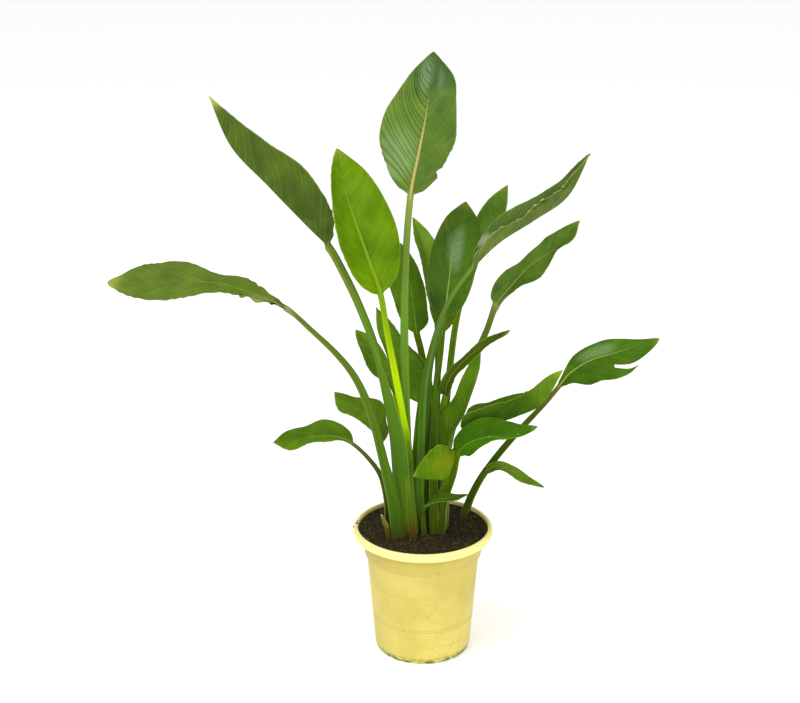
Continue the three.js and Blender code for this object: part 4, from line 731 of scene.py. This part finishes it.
def bladeSections(leaf, route, q, columns):  # rows follow the side veins, from midrib to margin
    s = np.linspace(-1, 1, 2 * columns + 1)[None, :]
    q = q[:, None]
    side, share = np.sign(s), np.abs(s)
    ribShare = growth["ribColumns"] / columns
    out = np.clip((share - ribShare) / (1 - ribShare), 0, 1)
    sweep = leaf["sweep"] * np.sqrt(q) * (1 - q)
    at = q + sweep * out ** 1.2
    width = np.where(side < 0, halfWidths(leaf, -1, at), halfWidths(leaf, 1, at))
    slit = leaf["slit"] or growth["noSlit"]
    near = np.exp(-np.abs(q - slit["row"]) / growth["slitReach"]) * (side == slit["side"])
    width = width * (1 - slit["bite"] * near * (q > slit["row"]))  # the blade is narrower above its split
    rib = np.minimum(growth["ribHalf"][0] + (growth["ribHalf"][1] - growth["ribHalf"][0]) * at, 0.35 * width)
    reach = np.where(share < ribShare, share / ribShare * rib, rib + (width - rib) * out)
    length = (1 - route["blade"]) * route["total"]
    fold = np.radians(leaf["fold"][0] + (leaf["fold"][1] - leaf["fold"][0]) * at)
    curl = math.radians(leaf["curl"])
    angle, bend = fold + curl * out, fold + 0.5 * curl * out
    height, count, start = leaf["wave"]

    # pleats of unequal width and height along the side veins, lowest beside the midrib and at the margin
    phase = q * length / leaf["vein"] + 0.37 * (side > 0)
    phase = phase + 0.18 * np.sin(1.7 * phase + 2 * side) + 0.06 * np.sin(4.1 * phase)
    ownHeight = 0.65 + 0.35 * np.sin(np.floor(phase) * 12.9 + len(leaf["name"]))
    leftPleat, rightPleat = leaf["pleat"]
    pleat = np.where(side > 0, rightPleat, leftPleat) * ownHeight * np.abs(np.sin(np.pi * phase))
    pleat = pleat * smooth(out / 0.15) * (1 - 0.7 * out ** 3) * np.clip(width / growth["fullPleat"], 0.2, 1)
    frill = leaf["ruffle"] + np.where(
        side < 0, edgeWork(leaf, -1, at, "frill"), edgeWork(leaf, 1, at, "frill"))
    frill = frill * out ** 5 * np.sin(at * length / growth["frillLength"] + 2 * np.sin(at * 23 + side))
    lift = height * out ** 2 * np.sin(2 * np.pi * (count * at + start + 0.2 * side)) + pleat + frill

    # the midrib stands a little above the blade and swells into a keel below it
    ribTop = growth["ribRise"] * np.clip(1 - (reach / np.maximum(rib, 0.01)) ** 2, 0, 1) * (1 - at)
    point = np.sqrt(np.clip((1 - at) / (1 - growth["tipStart"]), 0, 1))
    x = reach * np.cos(bend) - lift * np.sin(angle)
    z = reach * np.sin(bend) + lift * np.cos(angle) + ribTop
    thick = growth["thickness"] * (1.3 - 0.3 * out) * point
    keel = (growth["ribDepth"][0] + (growth["ribDepth"][1] - growth["ribDepth"][0]) * at) * point
    keel = np.maximum(keel - thick, 0) * np.clip(1 - (reach / (1.5 * np.maximum(rib, 0.01))) ** 2, 0, 1)
    x2 = x + thick * np.sin(angle)
    hang = slit["drop"] * near * (q < slit["row"]) * np.clip((out - slit["keep"]) / (1 - slit["keep"]), 0, 1)
    z = z - hang  # the lobe below the split hangs
    z2 = z - thick * np.cos(angle) - keel - ribTop
    shown = np.maximum(leaf["ribWide"] * (1 - 0.85 * at), 0.2)
    marks = (phase + 0 * out, reach / shown, width - reach, side * reach)
    return (side * x, z), (side * x2, z2), at, marks


def stalkSections(leaf, at, columns):  # at: 0 in the soil to 1 at the blade
    s = np.linspace(-1, 1, 2 * columns + 1)[None, :]
    at = at[:, None]
    low, middle, high = leaf["thick"]
    half = np.where(at < 0.5, low + (middle - low) * smooth(at * 2),
                    middle + (high - middle) * smooth(at * 2 - 1))
    half = half * (1 + leaf["knuckle"] * np.exp(-((1 - at) / growth["knuckleReach"]) ** 2))
    plump = 1 + (leaf["plump"] - 1) * smooth(at * 3 - 1)
    deep = plump * np.minimum(0.72 * half, 2.6 + 0.2 * half)
    angle = s * growth["arc"]
    groove = 0.25 * deep * np.exp(-(s / 0.3) ** 2)
    x = half * np.sin(angle)
    top, under = 0.6 * deep * np.cos(angle) - groove, -deep * np.cos(angle) - 0.05 * deep
    edge = half * math.sin(growth["arc"]) - np.abs(x)
    sheath = leaf["sheath"]
    if sheath:  # a thin flap grows out of one side of the lower stalk
        onSide = np.sign(s) == sheath["side"]
        inside = np.clip((at - sheath["from"]) / (sheath["to"] - sheath["from"]), 0, 1) ** sheath["skew"]
        flap = sheath["width"] * np.sin(np.pi * inside) ** 0.8
        out = np.clip((np.abs(s) - 0.55) / 0.45, 0, 1) * onSide
        middleLine = 0.5 * (top + under) + 0.2 * flap * out ** 2
        thin = smooth(out * 1.4)
        top = top + (middleLine + growth["thickness"] / 2 - top) * thin
        under = under + (middleLine - growth["thickness"] / 2 - under) * thin
        x = x + sheath["side"] * flap * out ** 1.3
        edge = edge + flap * np.clip(1 - out ** 1.3, 0, 1) * onSide
    return (x, top), (x, under), (x, edge, np.abs(x) / (0.9 * leaf["ribWide"]))


def openSplit(bm, grid, row, slit, columns):  # parts two rows from the margin inwards and closes both lips
    first = columns + math.ceil(slit["keep"] * columns)
    last = 2 * columns
    facing = {c: 4 * columns + 1 - c for c in range(first, last + 1)}  # the column under each upper one
    between = {grid[r, c] for r in (row, row + 1) for c in (*facing, *facing.values())}
    strip = [f for f in bm.faces if set(f.verts) <= between]
    bmesh.ops.delete(bm, geom=strip, context="FACES_KEEP_BOUNDARY")
    for r in (row, row + 1):
        for c in range(first, last):
            bm.faces.new([grid[r, c], grid[r, c + 1], grid[r, facing[c + 1]], grid[r, facing[c]]])


def growLeaf(leaf, number):
    route = leafRoute(leaf)
    columns = growth["columns"]
    length = (1 - route["blade"]) * route["total"]
    stalkLength = route["blade"] * route["total"]
    stalkAt = np.linspace(0, 1, max(10, int(stalkLength / growth["stalkStep"])))[:-1]
    pleats = max(5, round(length / leaf["vein"]))
    q = np.linspace(growth["evenFrom"], 1, pleats * growth["pleatRows"] + 1)
    q = np.concatenate([growth["closeRows"], q])
    slit = leaf["slit"]
    if slit:
        row, gap = slit["row"], growth["slitGap"]
        q = np.sort(np.concatenate([q[np.abs(q - row) > 4 * gap], [row - gap, row + gap]]))
    top, under, at, (phase, ribShare, edge, across) = bladeSections(leaf, route, q, columns)
    stalkTop, stalkUnder, _ = stalkSections(leaf, np.ones(len(q)), columns)
    blend = smooth(at / growth["blend"])
    top = [a + (b - a) * blend for a, b in zip(stalkTop, top)]
    under = [a + (b - a) * blend for a, b in zip(stalkUnder, under)]
    lowTop, lowUnder, (lowAcross, lowEdge, lowRib) = stalkSections(leaf, stalkAt, columns)
    full = np.vstack([np.repeat(stalkAt[:, None] * route["blade"], at.shape[1], 1),
                      route["blade"] + (1 - route["blade"]) * at])
    xz = [np.vstack(pair) for pair in zip((*lowTop, *lowUnder), (*top, *under))]
    centre, up, acrossAxis = (onRoute(route, key, full) for key in ("origin", "up", "across"))
    upper = centre + acrossAxis * xz[0][..., None] + up * xz[1][..., None]
    lower = centre + acrossAxis * xz[2][..., None] + up * xz[3][..., None]
    placed = np.concatenate([upper, lower[:, ::-1]], axis=1) * mm
    lowest, highest = np.array(cadBox[0]) + 1e-5, np.array(cadBox[1]) - 1e-5
    placed = np.clip(placed, lowest, highest)  # stays inside the solids' box

    def both(stalkPart, bladePart):  # marks of the upper row and, mirrored, of the lower row
        rows = np.vstack([stalkPart + 0 * lowAcross, bladePart + 0 * at])
        return np.concatenate([rows, rows[:, ::-1]], axis=1)

    isUpper = np.concatenate([np.ones_like(full), np.zeros_like(full)], axis=1)
    before = stalkAt[:, None] - 1  # -1 in the soil to 0 at the blade
    stalkness = 1 - smooth(at / growth["skinBlend"])
    marks = {
        "leafVein": [both(0, phase), both(lowRib, ribShare), both(lowEdge, edge)],
        "leafPlace": [both(lowAcross, across), both(before * stalkLength, at * length), isUpper],
        "leafPart": [both(before, at), both(1, stalkness), both(number, number)]}

    rows, around = placed.shape[:2]
    bm = bmesh.new()
    bmesh.ops.create_grid(bm, x_segments=around, y_segments=rows - 1, size=0.5)
    layers = [(bm.verts.layers.float_vector.new(key), np.stack(marks[key], axis=-1)) for key in marks]
    grid = {}
    for vert in bm.verts:
        k = round((vert.co.x + 0.5) * around) % around
        r = round((vert.co.y + 0.5) * (rows - 1))
        vert.co = placed[r, k]
        grid[r, k] = vert
        for layer, values in layers:
            vert[layer] = values[r, k]
    if slit:
        openSplit(bm, grid, len(stalkAt) + int(np.searchsorted(q, slit["row"])) - 1, slit, columns)
    bmesh.ops.remove_doubles(bm, verts=bm.verts, dist=2e-6)
    bmesh.ops.holes_fill(bm, edges=[e for e in bm.edges if e.is_boundary], sides=0)
    bmesh.ops.recalc_face_normals(bm, faces=bm.faces)
    name, tone = leaf["name"], leaf["tone"]
    return addPiece(name + "_living", bm, leafSkin(name + "_skin", tone), [name])


for number, leaf in enumerate(leaves):
    growLeaf({**plainLeaf, **leaf}, number)
print("grew", len(leaves), "leaves")

# Pot of injection-moulded polypropylene: satin and slightly waxy (IOR 1.49), with fine parting rings from
# the mould, soil dust and crumbs on it, and algae along its foot, and with a painted highlight along its
# rim's top and painted shade under the ledge and under the rim. Sizes in mm. rings: height of each ring and
# its depth. pale, footBrightening, algaeEdge: from one height to the other; pale: where the rim's painted
# highlight comes in, footBrightening: where the wall grows brighter towards its foot. paintedShade: two
# heights and its cover under the ledge and under the rim. ledgeShade: how dark the painted shade in the line
# under the ledge is. crumbs: degrees round the pot, height and size.
pot = {"body": "#d0c062", "shade": "#c2b252", "rim": "#f2e694", "line": "#a8953c", "dirt": "#5a4a24",
       "algae": "#56621a", "rings": {92: 0.14, 48: 0.22, 44.8: 0.22, 24: 0.12}, "ledge": 124.8,
       "ledgeShade": 0.7, "steps": 180, "wall": {"foot": 58, "top": 68.6, "height": 126},
       "pale": (147.5, 152), "footBrightening": (0, 120), "algaeEdge": (2, 10), "paintedShadeEnd": (148.5, 150.5),
       "paintedShade": {"ledge": (122.5, 127.5, 0.34), "rim": (137.5, 148.5, 0.46)},
       "drain": {"count": 6, "radius": 5, "ring": 42, "depth": 20},
       "crumbs": [
           (-25, 160.2, 1.1), (-76, 128.7, 1.0), (-88, 141.2, 0.7), (-79, 141.8, 0.7), (-60, 110.9, 0.6),
           (-56, 109.6, 0.5), (-64, 157.0, 0.7), (-97, 160.2, 0.6), (-50, 22.7, 0.7), (-41, 23.3, 0.5),
           (-142, 58.6, 0.6), (-96, 71.0, 0.6), (-48, 8.0, 0.9), (-44, 12.0, 0.6), (-140, 134.1, 0.5),
           (62, 96.0, 0.8), (118, 60.0, 0.7), (171, 120.0, 0.6), (24, 40.0, 0.8), (98, 30.0, 0.6),
           (177, 159.5, 3.2), (172, 159.7, 2.0), (181, 158.0, 1.8), (186, 159.6, 1.3), (-160, 159.8, 0.8)]}


def wallRadius(z):
    wall = pot["wall"]
    return wall["foot"] + (wall["top"] - wall["foot"]) * z / wall["height"]


def surfaceRadius(z):  # where a crumb sits: on the wall, the collar, the rim's side or its top
    if z < 125:
        return wallRadius(z)
    if z < 148:
        return 71 + (z - 126) * 0.15
    return 84.9 if z <= 159 else 81


def potPlastic():
    plastic, tree = newMaterial("moulded_polypropylene_pale_yellow")
    objectPlace = addNode(tree, "TexCoord").outputs["Object"]
    z = partsNode(tree, objectPlace)["Z"]

    def upward(heights, start, end, kind="SMOOTHSTEP"):  # a value that changes between two heights
        return rangeNode(tree, z, heights[0] * mm, heights[1] * mm, start, end, kind)

    cloud = noiseNode(tree, objectPlace, 16.0, 3.0)  # 60 mm clouds
    colour = mixNode(tree, rangeNode(tree, cloud, 0.38, 0.62), pot["shade"], pot["body"])
    # painted highlight: the rim's top is painted paler, towards the rim colour
    colour = mixNode(tree, upward(pot["pale"], 0.0, 1.0), colour, pot["rim"])
    drips = addNode(tree, "Mapping", {}, {0: objectPlace, "Scale": (90, 90, 9)})  # 11 mm wide, down the wall
    washed = rangeNode(tree, noiseNode(tree, drips, 1.0, 3.0), 0.35, 0.7, 1.01, 0.975)
    colour = shadeNode(tree, colour, washed)
    colour = shadeNode(tree, colour, upward(pot["footBrightening"], 1.06, 0.985, "LINEAR"))  # paler towards its foot
    layers = [upward(heights, 0.0, cover) for *heights, cover in pot["paintedShade"].values()]
    shadeCover = mathNode(tree, "ADD", *layers)  # painted shade under the ledge and under the rim
    shadeCover = mathNode(tree, "MULTIPLY", shadeCover, upward(pot["paintedShadeEnd"], 1.0, 0.0, "LINEAR"))
    colour = mixNode(tree, shadeCover, colour, pot["line"])
    dustAndShadeLines = {**pot["rings"], pot["ledge"]: pot["ledgeShade"]}
    for ring, dustAndShade in dustAndShadeLines.items():  # uneven dust sits in each mould line; the line under the ledge is painted shade
        off = mathNode(tree, "ABSOLUTE", mathNode(tree, "SUBTRACT", z, ring * mm))
        inLine = rangeNode(tree, off, 0.3 * mm, 0.9 * mm, 1.0, 0.0)
        broken = rangeNode(tree, cloud, 0.42, 0.6, 0.8 * dustAndShade, 2 * dustAndShade)
        colour = mixNode(tree, mathNode(tree, "MULTIPLY", inLine, broken), colour, pot["line"])
    specks = rangeNode(tree, noiseNode(tree, objectPlace, 640.0, 1.0), 0.665, 0.73)  # under 1 mm
    spread = rangeNode(tree, noiseNode(tree, objectPlace, 24.0, 2.0), 0.44, 0.62, 0.0, 0.8)
    colour = mixNode(tree, mathNode(tree, "MULTIPLY", specks, spread), colour, pot["dirt"])
    low = upward(pot["algaeEdge"], 1.0, 0.0)
    ragged = rangeNode(tree, noiseNode(tree, objectPlace, 130.0, 4.0), 0.38, 0.52)
    colour = mixNode(tree, mathNode(tree, "MULTIPLY", low, ragged), colour, pot["algae"])
    fine = noiseNode(tree, objectPlace, 1400.0, 2.0)
    rough = rangeNode(tree, cloud, 0.0, 1.0, 0.42, 0.56)
    finishSkin(tree, colour, rough, height=fine, strength=0.2, depth=0.05, ior=1.49, shine=0.35)
    return plastic


outline = [(0, 0), (50, 0), (54.6, 0.1), (56.4, 0.5), (57.4, 1.4), (57.9, 2.8), (58.4, 5)]
plainHeights = (10, 15, 19, 21.5, 27, 34, 40, 42.5, 50.5, 58, 70, 82, 89, 95, 105, 115, 120)
wall = [(wallRadius(z), z) for z in plainHeights]
for ring in pot["rings"]:  # each parting ring is a fine groove between plain stretches of wall
    wall += [(wallRadius(ring) - depth * pot["rings"][ring], ring + up) for up, depth in (
        (-0.9, 0), (-0.5, 0.1), (-0.2, 0.9), (0.1, 1), (0.4, 0.2), (0.9, 0))]
outline += sorted(wall, key=lambda point: point[1])
outline += [  # ledge, collar, rolled rim, then down the inside to the floor
    (68.1, 122.4), (68.35, 123.6), (68.6, 124.2), (69.3, 124.9), (70.3, 125.3), (70.9, 125.9), (71.1, 127),
    (71.4, 130), (72.4, 136), (73.3, 141), (73.9, 145), (74.1, 146.5), (74.8, 148), (76, 149), (77.5, 149.4),
    (79.5, 149.5), (81.6, 149.5), (83, 149.8), (84.1, 150.6), (84.7, 151.8), (84.95, 153.2), (84.95, 154.6),
    (84.7, 156.2), (84.1, 157.8), (83.1, 159), (81.8, 159.7), (80.6, 159.95), (79.8, 159.7), (79.3, 159.1),
    (79.05, 158.2), (79, 156), (79, 152.5), (78.2, 151.4), (74, 148.6), (72, 147), (71.6, 145.5), (68.8, 126),
    (66.6, 124.4), (66.2, 123), (56.2, 4), (55.4, 2.7), (54, 2.5), (0, 2.5)]
bm = lathe(outline, pot["steps"])
potPiece = addPiece("pot_moulded", bm, potPlastic(), ["pot"])

bm = bmesh.new()  # drain holes, cut through the pot's floor
drain = pot["drain"]
for i in range(drain["count"]):
    turn = (i + 0.5) / drain["count"] * 2 * math.pi
    place = Vector((math.cos(turn), math.sin(turn), 0)) * drain["ring"] * mm
    bmesh.ops.create_cone(bm, cap_ends=True, segments=32, radius1=drain["radius"] * mm,
                          radius2=drain["radius"] * mm, depth=drain["depth"] * mm,
                          matrix=Matrix.Translation(place))
cutter = looseObject("drain_cutter", bm)
cut = potPiece.modifiers.new("drain_holes", "BOOLEAN")
cut.object = cutter
cut.operation = "DIFFERENCE"
drained = bpy.data.meshes.new_from_object(potPiece.evaluated_get(bpy.context.evaluated_depsgraph_get()))
potPiece.modifiers.clear()
potPiece.data = drained
bpy.data.objects.remove(cutter)
print("pot is turned and its drain holes are cut")

# Soil of moist peat: near-black brown crumbs that scatter light, with perlite grit and bark fibres. Sizes
# in mm. top: the flat height from which the surface is raised. Each kind of bit has a count, a range of
# sizes, a shape (its stretch along x, y and z) and a colour.
soil = {"dark": "#14130a", "middle": "#2d280f", "light": "#4c421c", "edge": 78.4, "level": 158, "top": 154,
        "crown": 2.5, "lump": 1.6, "rings": 90, "steps": 280, "seed": 11,
        "bits": {
          "soil_crumbs": {"count": 1500, "size": (0.5, 1.7), "shape": (1, 0.8, 0.65), "colour": "#2a230f"},
          "bark_chips": {"count": 150, "size": (1.0, 2.4), "shape": (1.3, 0.6, 0.25), "colour": "#5b4028"},
          "perlite_grit": {"count": 130, "size": (0.25, 0.6), "shape": (1, 0.9, 0.8), "colour": "#b9b08e"},
          "root_fibres": {"count": 90, "size": (2.0, 5.0), "shape": (1.6, 0.07, 0.07), "colour": "#6e5334"}}}


def soilHeight(x, y):  # mm: the solid's mound and lumps, with crumbs on them
    radius, angle = math.hypot(x, y), math.atan2(y, x)
    mound = soil["crown"] * math.cos(radius / 79 * math.pi * 0.5)
    lumps = math.sin(radius * 0.16) * (math.sin(3 * angle) + math.sin(5 * angle + radius * 0.09 + 1))
    coarse = noise.fractal(Vector((x, y, 3)) / 9, 1.0, 2.0, 3)
    small = noise.fractal(Vector((x, y, 9)) / 2.4, 1.0, 2.0, 3)
    settle = min(1, (soil["edge"] - radius) / 3)
    crumbly = settle * (1.7 * coarse + 0.8 * small)
    return soil["level"] - soil["crown"] + mound + soil["lump"] / 2 * lumps + crumbly


def peatMaterial(name, dark, middle, light, rough):  # crumbly matter in 4 mm clumps, its tone varying, with painted shade darkening its hollows
    peat, tree = newMaterial(name)
    objectPlace = addNode(tree, "TexCoord").outputs["Object"]
    coarse = addNode(tree, "TexNoise", {}, {
        "Vector": objectPlace, "Scale": 260.0, "Detail": 5.0, "Roughness": 0.65})
    colour = addNode(tree, "ValToRGB", {"stops": [(0.32, dark), (0.52, middle), (0.74, light)]}, {0: coarse})
    finishSkin(tree, colour, rough, height=coarse, strength=0.9, depth=1.0, ior=1.4, shine=0.25)
    return peat


def addCrumb(bm, place, shape):
    bmesh.ops.create_icosphere(bm, subdivisions=1, radius=1, matrix=place @ Matrix.Diagonal((*shape, 1)))


radii = np.linspace(0, 1, soil["rings"]) ** 0.8 * soil["edge"]
profile = [(r, soil["top"]) for r in radii]
profile += [(78.4, 152.6), (71.2, 147.1), (65.8, 124), (55.6, 3.1), (0, 3.1)]  # down the pot's inside
bm = lathe(profile, soil["steps"])
for vert in bm.verts:
    if abs(vert.co.z - soil["top"] * mm) < 1e-5:
        vert.co.z = soilHeight(vert.co.x / mm, vert.co.y / mm) * mm
addPiece("soil_bed", bm, peatMaterial("moist_peat", soil["dark"], soil["middle"], soil["light"], 0.9),
         ["soil"])

rand = np.random.RandomState(soil["seed"])
for name, bits in soil["bits"].items():
    bm = bmesh.new()
    for _ in range(bits["count"]):
        radius, angle = (soil["edge"] - 1.5) * math.sqrt(rand.rand()), rand.uniform(0, 2 * math.pi)
        x, y = radius * math.cos(angle), radius * math.sin(angle)
        size = bits["size"][0] + (bits["size"][1] - bits["size"][0]) * rand.rand() ** 2
        turn = Matrix.Rotation(rand.uniform(0, 2 * math.pi), 4, "Z")
        turn = turn @ Matrix.Rotation(rand.normal(0, 0.35), 4, "Y")
        height = soilHeight(x, y) + 0.25 * size * bits["shape"][2]
        place = Matrix.Translation((x * mm, y * mm, height * mm))
        addCrumb(bm, place @ turn, [side * size * mm for side in bits["shape"]])
    matter = peatMaterial(name + "_matter", bits["colour"], bits["colour"], bits["colour"], 0.85)
    addPiece(name, bm, matter)

bm = bmesh.new()  # crumbs that stick to the pot, and a clump of soil on the left of its rim
for turn, z, size in pot["crumbs"]:
    side = Matrix.Rotation(math.radians(turn), 4, "Z")
    place = Matrix.Translation(((surfaceRadius(z) - 0.2) * mm, 0, min(z, 159.7) * mm))
    addCrumb(bm, side @ place, (0.5 * size * mm, 0.8 * size * mm, 0.6 * size * mm))
stray = peatMaterial("stray_soil", "#2b2112", "#3a2d18", "#4a3b22", 0.85)
addPiece("crumbs_on_pot", bm, stray)
print("soil is laid")
